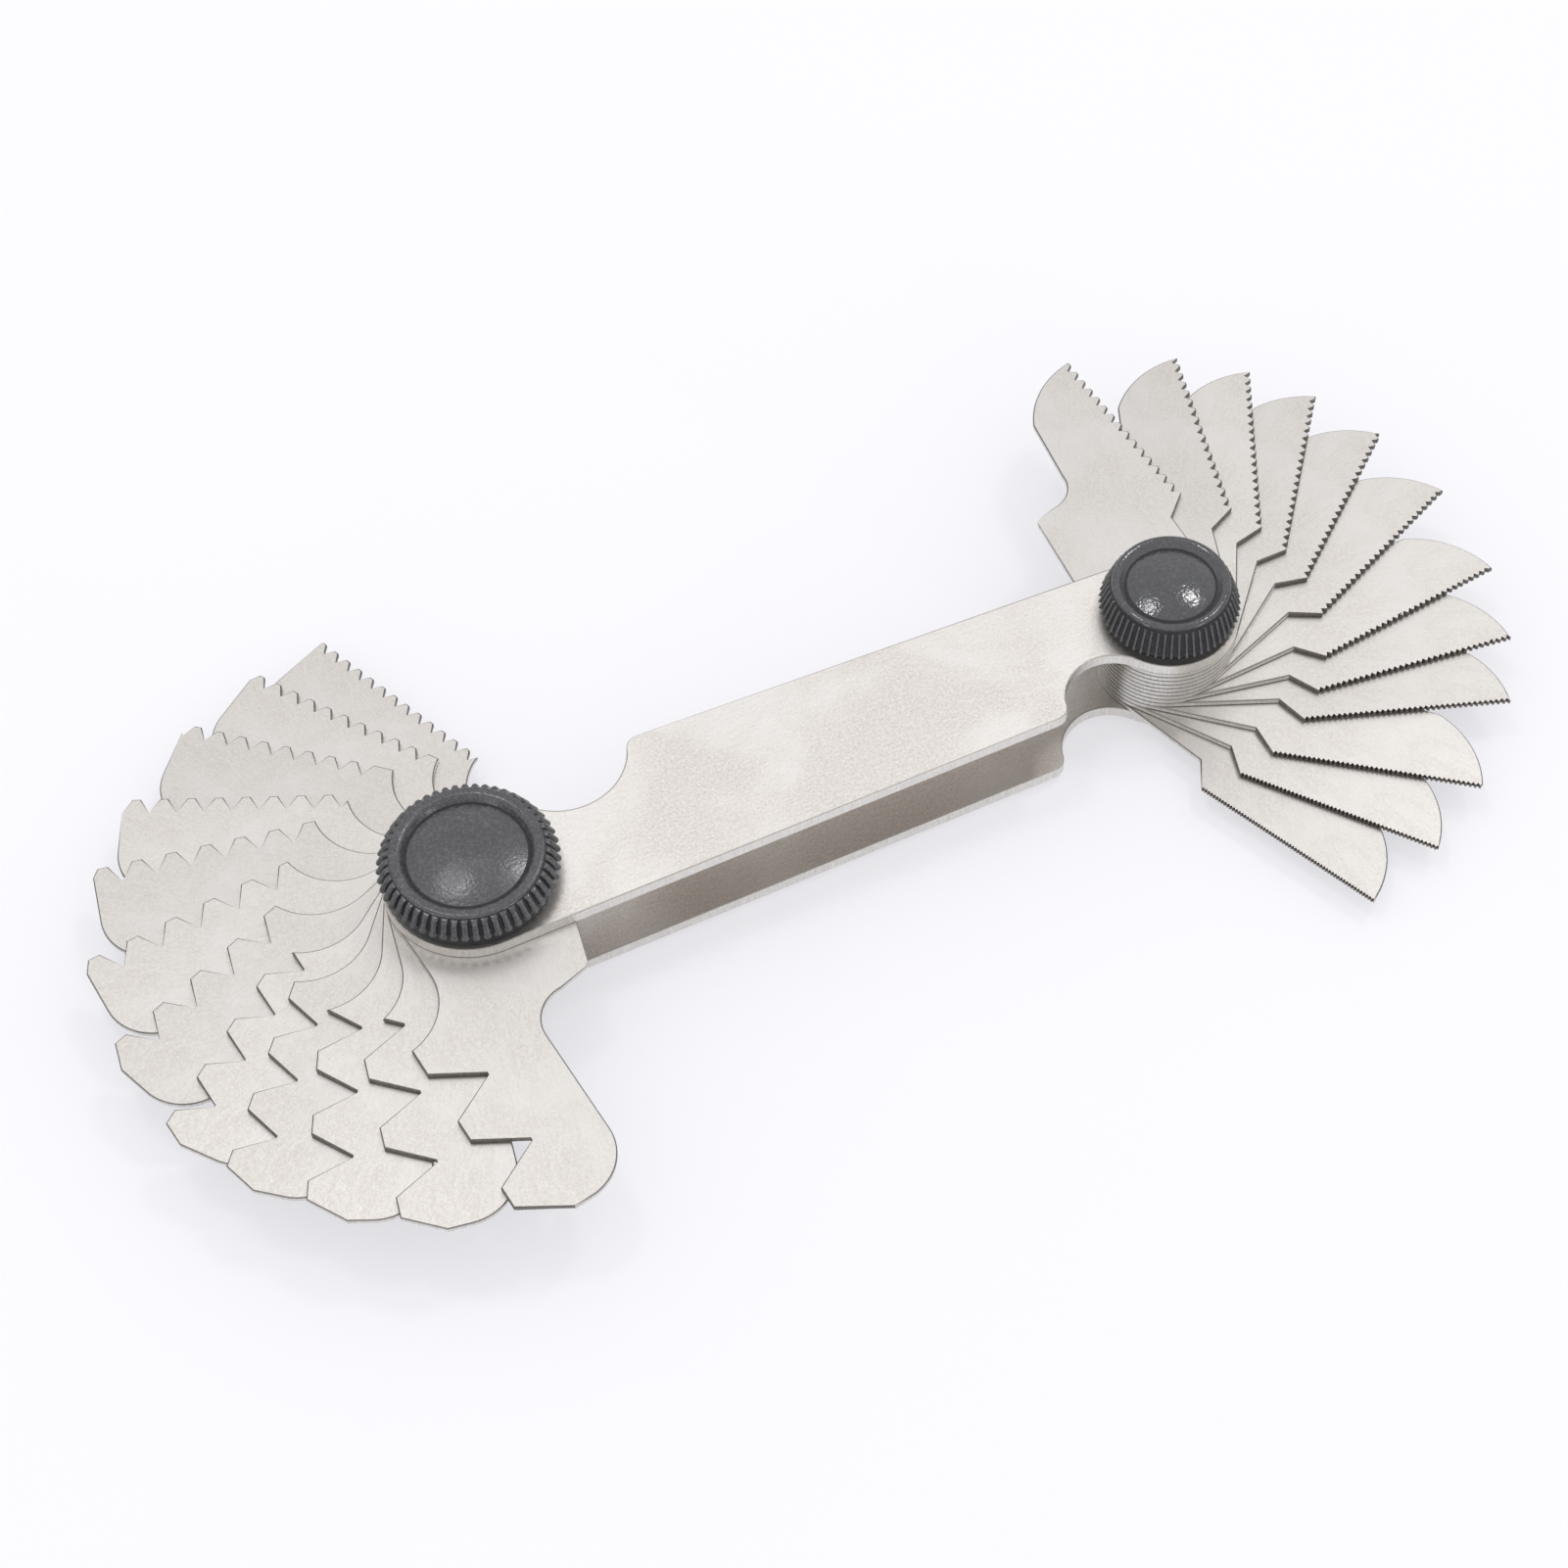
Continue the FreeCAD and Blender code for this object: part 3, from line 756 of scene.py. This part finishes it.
@dataclass
class StampedSheet:
    """A flat stamping, taken from its CAD node, with its top and bottom edges rolled over."""

    node: str
    body: str
    slot: Slot
    pivot_node: str
    roll_in: float
    roll_down: float
    roll_steps: int
    crease: float = 35.0

    def loops(self) -> tuple[list[list[Vector]], float, float]:
        """Read the outline and the holes from the CAD node's flat top.

        Returns:
            The closed loops, outline first, and the heights of the floor and the ceiling.
        """
        low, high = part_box(self.node)
        bm = bmesh.new()
        bm.from_mesh(bpy.data.objects[self.node].data)
        bmesh.ops.remove_doubles(bm, verts=bm.verts, dist=MERGE_DISTANCE)
        top = {face for face in bm.faces if all(abs(v.co.z - high.z) < 0.01 * MM for v in face.verts)}
        following = {}
        for face in top:
            for loop in face.loops:
                if loop.link_loop_radial_next.face not in top:
                    following[loop.vert] = loop.link_loop_next.vert
        found = []
        while following:
            vertex = next(iter(following))
            ring = []
            while vertex in following:
                ring.append(vertex.co.to_2d())
                vertex = following.pop(vertex)
            found.append(ring)
        bm.free()
        found.sort(key=lambda ring: -abs(self.area(ring)))
        return found, low.z, high.z

    @staticmethod
    def area(ring: Sequence[Vector]) -> float:
        """The signed area of a closed loop."""
        return sum(a.cross(b) for a, b in zip(ring, [*ring[1:], ring[0]])) / 2.0

    @staticmethod
    def inset(ring: Sequence[Vector], distance: float) -> list[Vector]:
        """Move a loop into the metal, which lies on its left, and less where its sides are short.

        Args:
            ring: the loop's points.
            distance: how far to move each side at most.

        Returns:
            The moved points, one for each point of the loop.
        """
        moved = []
        for index, point in enumerate(ring):
            before = point - ring[index - 1]
            after = ring[(index + 1) % len(ring)] - point
            reach = min(distance, SHORT_SIDE_SHARE * min(before.length, after.length))
            before.normalize()
            after.normalize()
            bisector = Vector((-before.y - after.y, before.x + after.x))
            moved.append(point + bisector * (reach / max(1.0 + before.dot(after), SHARPEST_MITRE)))
        return moved

    @staticmethod
    def toothed(ring: Sequence[Vector]) -> list[bool]:
        """Tell which sides of a loop belong to thread teeth: both their corners turn sharply."""
        sharp = []
        for index, point in enumerate(ring):
            before = point - ring[index - 1]
            after = ring[(index + 1) % len(ring)] - point
            sharp.append(abs(before.angle_signed(after)) > TOOTH_CORNER)
        return [here and sharp[(index + 1) % len(ring)] for index, here in enumerate(sharp)]

    def build(self, materials: Sequence[bpy.types.Material], tone: float) -> bpy.types.Object:
        """Build the sheet around its loops and put it in its CAD node's place.

        Args:
            materials: one for each Surface, in their order.
            tone: the sheet's brightness against its neighbours.

        Returns:
            The finished piece.
        """
        loops, floor, ceiling = self.loops()
        sections = self.sections(floor, ceiling)
        bm = bmesh.new()
        caps = ([], [])
        for ring in loops:
            rows = []
            for distance, height in sections:
                points = self.inset(ring, distance) if distance else ring
                rows.append([bm.verts.new((point.x, point.y, height)) for point in points])
            self.wall(bm, rows, self.toothed(ring))
            caps[0].append(rows[0])
            caps[1].append(rows[-1])
        for rows, upward in ((caps[0], False), (caps[1], True)):
            self.cap(bm, rows, upward)
        piece = finish_mesh(self.node + "_stamping", bm, materials, self.crease)
        self.place(piece.data, loops[0], floor, tone)
        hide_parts(self.node)
        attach(piece, self.body)
        return piece

    def sections(self, floor: float, ceiling: float) -> list[tuple[float, float]]:
        """How far the wall is drawn in at each height, from the bottom edge to the top one."""
        corner = []
        for step in range(self.roll_steps + 1):
            turn = math.pi / 2.0 * step / self.roll_steps
            corner.append((self.roll_in * (1.0 - math.sin(turn)), self.roll_down * (1.0 - math.cos(turn))))
        below = [(inset, floor + rise) for inset, rise in corner]
        above = [(inset, ceiling - rise) for inset, rise in reversed(corner)]
        return below + above

    def wall(
        self, bm: bmesh.types.BMesh, rows: Sequence[Sequence[bmesh.types.BMVert]], teeth: Sequence[bool]
    ) -> None:
        """Close the wall between the rows of one loop.

        Args:
            bm: the mesh to add to.
            rows: the loop's points at each height, from the bottom up.
            teeth: which sides belong to thread teeth.
        """
        for level, (row, above) in enumerate(zip(rows, rows[1:])):
            upright = level == self.roll_steps
            for index, vertex in enumerate(row):
                after = (index + 1) % len(row)
                face = bm.faces.new((vertex, row[after], above[after], above[index]))
                # The rolled strips and the tooth flanks take the slots whose dark colours are painted shade.
                surface = Surface.TOOTH if teeth[index] else Surface.WALL if upright else Surface.ROLL
                face.material_index = surface.value

    @staticmethod
    def cap(bm: bmesh.types.BMesh, rows: Sequence[Sequence[bmesh.types.BMVert]], upward: bool) -> None:
        """Fill the flat face inside the outline and round the holes."""
        vertices = [vertex for row in rows for vertex in row]
        flat = [[vertex.co.to_2d().to_3d() for vertex in row] for row in rows]
        for corners in tessellate_polygon(flat):
            triangle = [vertices[corner] for corner in corners]
            rising = (triangle[1].co - triangle[0].co).cross(triangle[2].co - triangle[0].co).z > 0.0
            if rising != upward:
                triangle.reverse()
            face = bm.faces.new(triangle)
            face.material_index = Surface.FACE.value

    def place(self, mesh: bpy.types.Mesh, outline: Sequence[Vector], floor: float, tone: float) -> None:
        """Store the grain's coordinates along the sheet, and the sheet's tone."""
        pivot = Vector((*axis_of(self.pivot_node), floor))
        middle = sum(outline, Vector((0.0, 0.0))) / len(outline) - pivot.to_2d()
        store_places(mesh, pivot, math.atan2(middle.y, middle.x))
        tones = mesh.attributes.new(TONE_ATTRIBUTE, "FLOAT", "POINT")
        tones.data.foreach_set("value", [tone] * len(mesh.vertices))


@dataclass
class LeafFan:
    """The leaves of one end of the gauge, each on its own body."""

    screw: str
    nodes: list[str]
    roll_in: float = 0.09 * MM
    roll_down: float = 0.07 * MM
    roll_steps: int = 1
    tone_spread: float = 0.03

    def build(self, materials: Sequence[bpy.types.Material], draws: random.Random) -> list[bpy.types.Object]:
        """Build every leaf of the fan.

        Args:
            materials: one for each Surface, in their order.
            draws: the source of each leaf's tone.

        Returns:
            The leaves, in the order of their nodes.
        """
        leaves = []
        for node in self.nodes:
            sheet = StampedSheet(
                node, node, Slot.LEAF, self.screw, self.roll_in, self.roll_down, self.roll_steps
            )
            tone = 1.0 + draws.uniform(-self.tone_spread, self.tone_spread)
            leaves.append(sheet.build(materials, tone))
        return leaves


# ---- knobs and screws


@dataclass
class KnurledKnob:
    """A moulded knob: a collar, a ribbed cone, a smooth rim and a low dome in a ring groove.

    Sizes are in millimetres; heights are above the knob's underside. A rib's root is how deep its
    sides start in the wall, and its fullness rounds its section, less than 1 being squarer.
    """

    node: str
    body: str
    slot: Slot
    insert_node: str
    collar: float
    collar_height: float
    foot: float
    rim: float
    rim_round: float
    height: float
    lip: float
    lip_round: float
    ring: float
    ring_depth: float
    dome_rise: float
    rib_count: int
    rib_rise_foot: float
    rib_rise_top: float
    rib_width: float
    rib_top: float
    rib_sunk: float = 0.3
    rib_root: float = 0.04
    rib_fullness: float = 0.8
    rib_fade_start: float = 0.86
    rib_fade_span: float = 0.15
    rib_sections: int = 8
    rib_arc_steps: int = 6
    collar_round: float = 0.12
    foot_round: float = 0.1
    groove_round: float = 0.06
    groove_width: float = 0.16
    groove_run: float = 0.3
    lift: float = 0.02
    dome_steps: int = 16
    steps: int = 160

    def profile(self) -> tuple[Profile, list[bool]]:
        """The moulding's section, round once from the insert's foot.

        Returns:
            (radius, height) pairs in millimetres, and which of the sides that they start are hollows, which
            take the painted shade.
        """
        low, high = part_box(self.insert_node)
        insert = (high.x - low.x) / 2.0 / MM
        insert_top = (high.z - low.z) / MM
        groove_floor = self.height - self.ring_depth
        dome_floor = groove_floor + self.lift
        bottom = (self.collar, 0.0)
        neck = (self.collar, self.collar_height)
        foot = (self.foot, self.collar_height)
        shoulder = (self.rim, self.height)
        lip = (self.lip, self.height)
        groove = (self.ring, groove_floor)
        past_groove = (self.ring - self.groove_run, dome_floor)
        runs = [
            ([(insert, 0.0)], True),
            (rounded(bottom, (insert, 0.0), neck, self.collar_round, 3), True),
            ([neck], True),
            (rounded(foot, neck, shoulder, self.foot_round, 3), True),
            (rounded(shoulder, foot, lip, self.rim_round, 8), False),
            (rounded(lip, shoulder, groove, self.lip_round, 7), False),
            (rounded(groove, lip, past_groove, self.groove_round, 3), True),
            (dome(self.ring - self.groove_width, dome_floor, self.dome_rise, self.dome_steps), False),
            ([(0.0, insert_top), (insert, insert_top)], True),
        ]
        points = [point for run, _ in runs for point in run]
        hollows = [hollow for run, hollow in runs for _ in run]
        return points, hollows

    def rib_mesh(self) -> bpy.types.Mesh:
        """One grip rib on the +X side of an axis through the origin.

        Returns:
            A closed mesh that follows the cone's slope and ends in a rounded top.
        """
        low = self.collar_height + self.lift
        slope = (self.rim - self.foot) / (self.height - self.collar_height)
        bm = bmesh.new()
        rows = []
        for index in range(self.rib_sections):
            share = math.sin(math.pi / 2.0 * index / (self.rib_sections - 1))
            height = low + (self.rib_top - low) * share
            wall = self.foot + slope * (height - self.collar_height)
            faded = max(0.0, (share - self.rib_fade_start) / self.rib_fade_span)
            fade = math.sqrt(max(0.0, 1.0 - faded**2))
            rise = (self.rib_rise_foot + (self.rib_rise_top - self.rib_rise_foot) * share) * fade
            half = self.rib_width / 2.0 * (wall / self.foot)
            row = [bm.verts.new(Vector((wall - self.rib_sunk, -half, height)) * MM)]
            for step in range(self.rib_arc_steps + 1):
                turn = math.pi * step / self.rib_arc_steps
                crown = (rise + self.rib_root) * math.sin(turn) ** self.rib_fullness
                out = wall - self.rib_root + crown
                row.append(bm.verts.new(Vector((out, -half * math.cos(turn), height)) * MM))
            row.append(bm.verts.new(Vector((wall - self.rib_sunk, half, height)) * MM))
            rows.append(row)
        for row, above in zip(rows, rows[1:]):
            for index, vertex in enumerate(row):
                after = (index + 1) % len(row)
                bm.faces.new((vertex, row[after], above[after], above[index]))
        bm.faces.new(rows[0])
        bm.faces.new(rows[-1])
        bmesh.ops.recalc_face_normals(bm, faces=bm.faces)
        mesh = bpy.data.meshes.new(self.node + "_rib")
        bm.to_mesh(mesh)
        bm.free()
        return mesh

    def build(
        self, materials: Sequence[bpy.types.Material], ring_tree: bpy.types.NodeTree
    ) -> list[bpy.types.Object]:
        """Build the moulding and its ring of ribs.

        Args:
            materials: the plastic's skin, and the painted shade that darkens the hollows.
            ring_tree: the node tree that repeats a shape round an axis.

        Returns:
            The moulding and the ribs.
        """
        centre = Vector((*axis_of(self.insert_node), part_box(self.node)[0].z))
        bm = bmesh.new()
        points, hollows = self.profile()
        spin_profile(bm, points, centre, self.steps, hollows)
        moulding = finish_mesh(self.node + "_moulding", bm, materials, ROUND_CREASE)
        ribs = repeat_round(
            self.node + "_ribs", self.rib_mesh(), ring_tree, self.rib_count, centre, materials[0]
        )
        for piece in (moulding, ribs):
            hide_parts(self.node)
            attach(piece, self.body)
        return [moulding, ribs]


def ring_of_copies() -> bpy.types.NodeTree:
    """Build the node tree that sets copies of a shape evenly round an upright axis.

    Returns:
        A geometry node tree with inputs for the count, the axis and the material.
    """
    group = bpy.data.node_groups.new("ring_of_copies", "GeometryNodeTree")
    group.interface.new_socket(name="Shape", in_out="INPUT", socket_type="NodeSocketGeometry")
    group.interface.new_socket(name="Count", in_out="INPUT", socket_type="NodeSocketInt")
    group.interface.new_socket(name="Axis Foot", in_out="INPUT", socket_type="NodeSocketVector")
    group.interface.new_socket(name="Finish", in_out="INPUT", socket_type="NodeSocketMaterial")
    group.interface.new_socket(name="Ring", in_out="OUTPUT", socket_type="NodeSocketGeometry")
    tree = Tree(group)
    given = tree.add("NodeGroupInput").outputs
    points = tree.add("GeometryNodePoints", {"Count": given["Count"], "Position": given["Axis Foot"]})
    step = tree.maths("DIVIDE", math.tau, given["Count"])
    turn = tree.maths("MULTIPLY", tree.add("GeometryNodeInputIndex").outputs[0], step)
    upright = tree.add("ShaderNodeCombineXYZ", {"Z": turn})
    copies = tree.add(
        "GeometryNodeInstanceOnPoints",
        {"Points": points.outputs[0], "Instance": given["Shape"], "Rotation": upright.outputs[0]},
    )
    solid = tree.add("GeometryNodeRealizeInstances", {"Geometry": copies.outputs[0]})
    dressed = tree.add("GeometryNodeSetMaterial", {"Geometry": solid.outputs[0], "Material": given["Finish"]})
    tree.add("NodeGroupOutput", {"Ring": dressed.outputs[0]})
    return group


def repeat_round(
    name: str,
    shape: bpy.types.Mesh,
    tree: bpy.types.NodeTree,
    count: int,
    centre: Vector,
    material: bpy.types.Material,
) -> bpy.types.Object:
    """Set copies of a shape round an axis and turn the result into one plain mesh.

    Args:
        name: the new piece's name.
        shape: the mesh to repeat, on the +X side of the origin.
        tree: the node tree from ring_of_copies.
        count: how many copies.
        centre: the foot of the axis.
        material: the copies' material.

    Returns:
        The new piece.
    """
    maker = add_object(name + "_maker", shape)
    modifier = maker.modifiers.new("ring", "NODES")
    modifier.node_group = tree
    values = {"Count": count, "Axis Foot": centre, "Finish": material}
    for item in tree.interface.items_tree:
        if item.in_out == "INPUT" and item.name in values:
            modifier[item.identifier] = values[item.name]
    evaluated = maker.evaluated_get(bpy.context.evaluated_depsgraph_get())
    mesh = bpy.data.meshes.new_from_object(evaluated)
    maker.modifiers.remove(modifier)
    bpy.data.objects.remove(maker)
    bm = bmesh.new()
    bm.from_mesh(mesh)
    bpy.data.meshes.remove(mesh)
    return finish_mesh(name, bm, [material], ROUND_CREASE)


@dataclass
class PivotScrew:
    """A pivot screw: a low round head with a broken edge, a plain shank and a thinner end for the thread.

    Sizes are in millimetres. The shank is measured at shank_height above the table, and the end at
    end_height above the foot of the insert that it is screwed into.
    """

    node: str
    plate_node: str
    insert_node: str
    head_chamfer: float = 0.14
    end_chamfer: float = 0.25
    shank_height: float = 1.0
    end_height: float = 0.6
    shank_gap: float = 0.12
    steps: int = 96

    def build(self, material: bpy.types.Material) -> bpy.types.Object:
        """Build the screw in its CAD node's place.

        Args:
            material: the turned steel.

        Returns:
            The finished piece.
        """
        low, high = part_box(self.node)
        centre = Vector((*axis_of(self.node), low.z))
        head = (high.x - low.x) / 2.0 / MM
        head_top = (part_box(self.plate_node)[0].z - low.z) / MM
        top = (high.z - low.z) / MM
        insert_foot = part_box(self.insert_node)[0].z
        shank, thread = self.widths_at((self.shank_height, insert_foot / MM + self.end_height))
        step = (insert_foot - low.z) / MM - self.shank_gap
        profile = [
            (0.0, 0.0),
            (head - self.head_chamfer, 0.0),
            (head, self.head_chamfer),
            (head, head_top),
            (shank, head_top),
            (shank, step),
            (thread, step),
            (thread, top - self.end_chamfer),
            (thread - self.end_chamfer, top),
            (0.0, top),
        ]
        bm = bmesh.new()
        spin_profile(bm, profile, centre, self.steps)
        piece = finish_mesh(self.node + "_turned", bm, [material], FLAT_CREASE)
        store_places(piece.data, centre, 0.0)
        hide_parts(self.node)
        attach(piece, "frame")
        return piece

    def widths_at(self, heights: Iterable[float]) -> list[float]:
        """The screw's radius at some heights above the table, in millimetres."""
        x, y = axis_of(self.node)
        vertices = [v.co for v in bpy.data.objects[self.node].data.vertices]
        radii = []
        for height in heights:
            reach = [math.hypot(v.x - x, v.y - y) / MM for v in vertices if v.z / MM > height]
            radii.append(round(max(reach), 4))
        return radii


# ---- studio


@dataclass
class Softbox:
    """A softbox aimed at the middle of the gauge."""

    name: str
    towards: tuple[float, float, float]
    distance: float
    width: float
    height: float
    power: float

    def build(self, target: Vector) -> bpy.types.Object:
        """Set up the lamp.

        Args:
            target: the point that it faces.

        Returns:
            The lamp.
        """
        data = bpy.data.lights.new(self.name, "AREA")
        data.shape = "RECTANGLE"
        data.size = self.width
        data.size_y = self.height
        data.energy = self.power
        lamp = bpy.data.objects.new(self.name, data)
        direction = Vector(self.towards).normalized()
        lamp.location = target + direction * self.distance
        lamp.rotation_euler = direction.to_track_quat("Z", "Y").to_euler()
        lamp.visible_camera = False
        bpy.context.scene.collection.objects.link(lamp)
        return lamp


@dataclass
class Studio:
    """A pale table in a white tent with a darker skirt, four softboxes and the camera."""

    table_reach: float = 3.0
    tent_light: float = 0.93
    tent_white: Colour = (0.985, 0.985, 1.0)
    skirt_top: float = 0.4
    skirt_light: float = 0.25

    def build(self, finishes: Finishes) -> None:
        """Set up the table, the tent, the lamps and the camera."""
        bpy.context.scene.view_settings.view_transform = "Standard"
        self.table(finishes.table)
        self.tent()
        self.camera()
        low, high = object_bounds()
        middle = (low + high) / 2.0
        for softbox in (
            Softbox("softbox_left", (-0.12, 0.28, 0.952), 0.7, 0.085, 0.085, 0.32),
            Softbox("softbox_right", (0.48, 0.18, 0.86), 0.7, 0.1, 0.085, 0.42),
            Softbox("strip_right", (0.42, -0.87, 0.14), 0.5, 0.04, 0.16, 0.2),
            Softbox("strip_left", (-0.87, -0.45, 0.14), 0.5, 0.04, 0.16, 0.12),
        ):
            softbox.build(middle)

    def table(self, material: bpy.types.Material) -> None:
        """Lay the table at the gauge's foot."""
        bm = bmesh.new()
        bmesh.ops.create_grid(bm, x_segments=2, y_segments=2, size=self.table_reach)
        table = finish_mesh("table_top", bm, [material], FLAT_CREASE)
        table.location.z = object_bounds()[0].z
        table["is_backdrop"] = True

    def tent(self) -> None:
        """Surround the scene with white, a little softer as a lamp, with a dim skirt in mirrors."""
        world = bpy.data.worlds.new("white_tent")
        bpy.context.scene.world = world
        world.use_nodes = True
        tree = Tree(world.node_tree)
        background = world.node_tree.nodes["Background"]
        strength = tree.spread(tree.seen_or_mirrored(), self.tent_light, 1.0)
        height = tree.add("ShaderNodeSeparateXYZ", {0: tree.add("ShaderNodeTexCoord").outputs["Generated"]})
        sockets = {"Value": height.outputs["Z"], "From Max": self.skirt_top, "To Min": self.skirt_light}
        skirt = tree.add("ShaderNodeMapRange", sockets, interpolation_type="SMOOTHSTEP").outputs["Result"]
        mirrored = tree.add("ShaderNodeLightPath").outputs["Is Glossy Ray"]
        shaded = tree.maths("MULTIPLY", strength, skirt)
        mixed = tree.add("ShaderNodeMix", {0: mirrored, 2: strength, 3: shaded}).outputs[0]
        tree.fill(background.inputs["Color"], self.tent_white)
        tree.fill(background.inputs["Strength"], mixed)

    @staticmethod
    def camera() -> None:
        """Stand the camera above the front of the gauge."""
        data = bpy.data.cameras.new("studio_camera")
        data.sensor_width = 36.0
        data.lens = 84.305
        data.clip_start = 0.01
        camera = bpy.data.objects.new("studio_camera", data)
        right = Vector((0.91503622, -0.40250125, -0.02648498))
        up = Vector((0.34662288, 0.75102538, 0.56197283))
        back = Vector((-0.20630388, -0.52340579, 0.82673157))
        turn = Matrix((right, up, back)).transposed().to_4x4()
        camera.matrix_world = Matrix.Translation((-0.030833, -0.138918, 0.223897)) @ turn
        bpy.context.scene.collection.objects.link(camera)
        bpy.context.scene.camera = camera


# ---- the gauge


@dataclass
class ThreadPitchGauge:
    """The whole gauge, dressed around its CAD nodes."""

    seed: int = 24
    plate_roll_in: float = 0.11 * MM
    plate_roll_down: float = 0.05 * MM
    plate_roll_steps: int = 3

    def build(self, frame: dict, finishes: Finishes) -> list[bpy.types.Object]:
        """Dress every node of the gauge.

        Args:
            finishes: the materials.

        Returns:
            Every new piece.
        """
        draws = random.Random(self.seed)
        pieces = []
        for node in ("bottom_plate", "top_plate"):
            plate = StampedSheet(
                node=node,
                body="frame",
                slot=Slot.PLATE,
                pivot_node="pivot_screw_coarse",
                roll_in=self.plate_roll_in,
                roll_down=self.plate_roll_down,
                roll_steps=self.plate_roll_steps,
            )
            pieces.append(self.report(plate.build(finishes.plate, 1.0)))
        for end in ("coarse", "fine"):
            screw = PivotScrew("pivot_screw_" + end, "bottom_plate", "threaded_insert_" + end)
            pieces.append(self.report(screw.build(finishes.screw)))
            insert = frame["nodes"]["threaded_insert_" + end]
            insert.data.materials.clear()
            insert.data.materials.append(finishes.insert)
        for fan in self.fans(frame):
            pieces += [self.report(leaf) for leaf in fan.build(finishes.leaf, draws)]
        ring_tree = ring_of_copies()
        for knob, plastic in ((self.coarse_knob(), finishes.satin), (self.fine_knob(), finishes.gloss)):
            pieces += [self.report(piece) for piece in knob.build(plastic, ring_tree)]
        return pieces

    @staticmethod
    def fans(frame: dict) -> list[LeafFan]:
        """Sort the leaves by the pivot that they swing on."""
        pitches = {"coarse": [], "fine": []}
        for joint in frame["joints"]:
            if joint["child"].startswith("leaf_"):
                near = min(pitches, key=lambda end: abs(axis_of("pivot_screw_" + end)[0] - joint["pos_m"][0]))
                pitches[near].append(joint["child"])
        return [LeafFan("pivot_screw_" + end, sorted(nodes)) for end, nodes in pitches.items()]

    @staticmethod
    def report(piece: bpy.types.Object) -> bpy.types.Object:
        """Hand a finished piece back."""
        return piece

    @staticmethod
    def coarse_knob() -> KnurledKnob:
        """The larger satin knob of the coarse end."""
        return KnurledKnob(
            node="knurled_knob_coarse",
            body="knob_coarse",
            slot=Slot.SATIN,
            insert_node="threaded_insert_coarse",
            collar=6.0,
            collar_height=1.28,
            foot=6.25,
            rim=5.4,
            rim_round=0.3,
            height=2.78,
            lip=4.75,
            lip_round=0.5,
            ring=4.4,
            ring_depth=0.48,
            dome_rise=0.6,
            rib_count=51,
            rib_rise_foot=0.27,
            rib_rise_top=0.36,
            rib_width=0.58,
            rib_top=2.55,
        )

    @staticmethod
    def fine_knob() -> KnurledKnob:
        """The smaller glossy knob of the fine end."""
        return KnurledKnob(
            node="knurled_knob_fine",
            body="knob_fine",
            slot=Slot.GLOSS,
            insert_node="threaded_insert_fine",
            collar=4.5,
            collar_height=0.88,
            foot=5.05,
            rim=4.25,
            rim_round=0.32,
            height=3.38,
            lip=3.85,
            lip_round=0.5,
            ring=3.36,
            ring_depth=0.44,
            dome_rise=0.56,
            rib_count=56,
            rib_rise_foot=0.15,
            rib_rise_top=0.12,
            rib_width=0.24,
            rib_top=2.85,
        )


def corners(box: tuple[Vector, Vector]) -> list[list[float]]:
    """A box as plain lists of numbers."""
    return [list(corner) for corner in box]


def main() -> None:
    """Load the frame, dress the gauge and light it."""
    logging.basicConfig(level=logging.INFO, format="%(name)s: %(message)s")
    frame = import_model()
    finishes = Finishes()
    pieces = ThreadPitchGauge().build(frame, finishes)
    Studio().build(finishes)
    LOG.info("%d pieces", len(pieces))


if __name__ == "__main__":
    main()
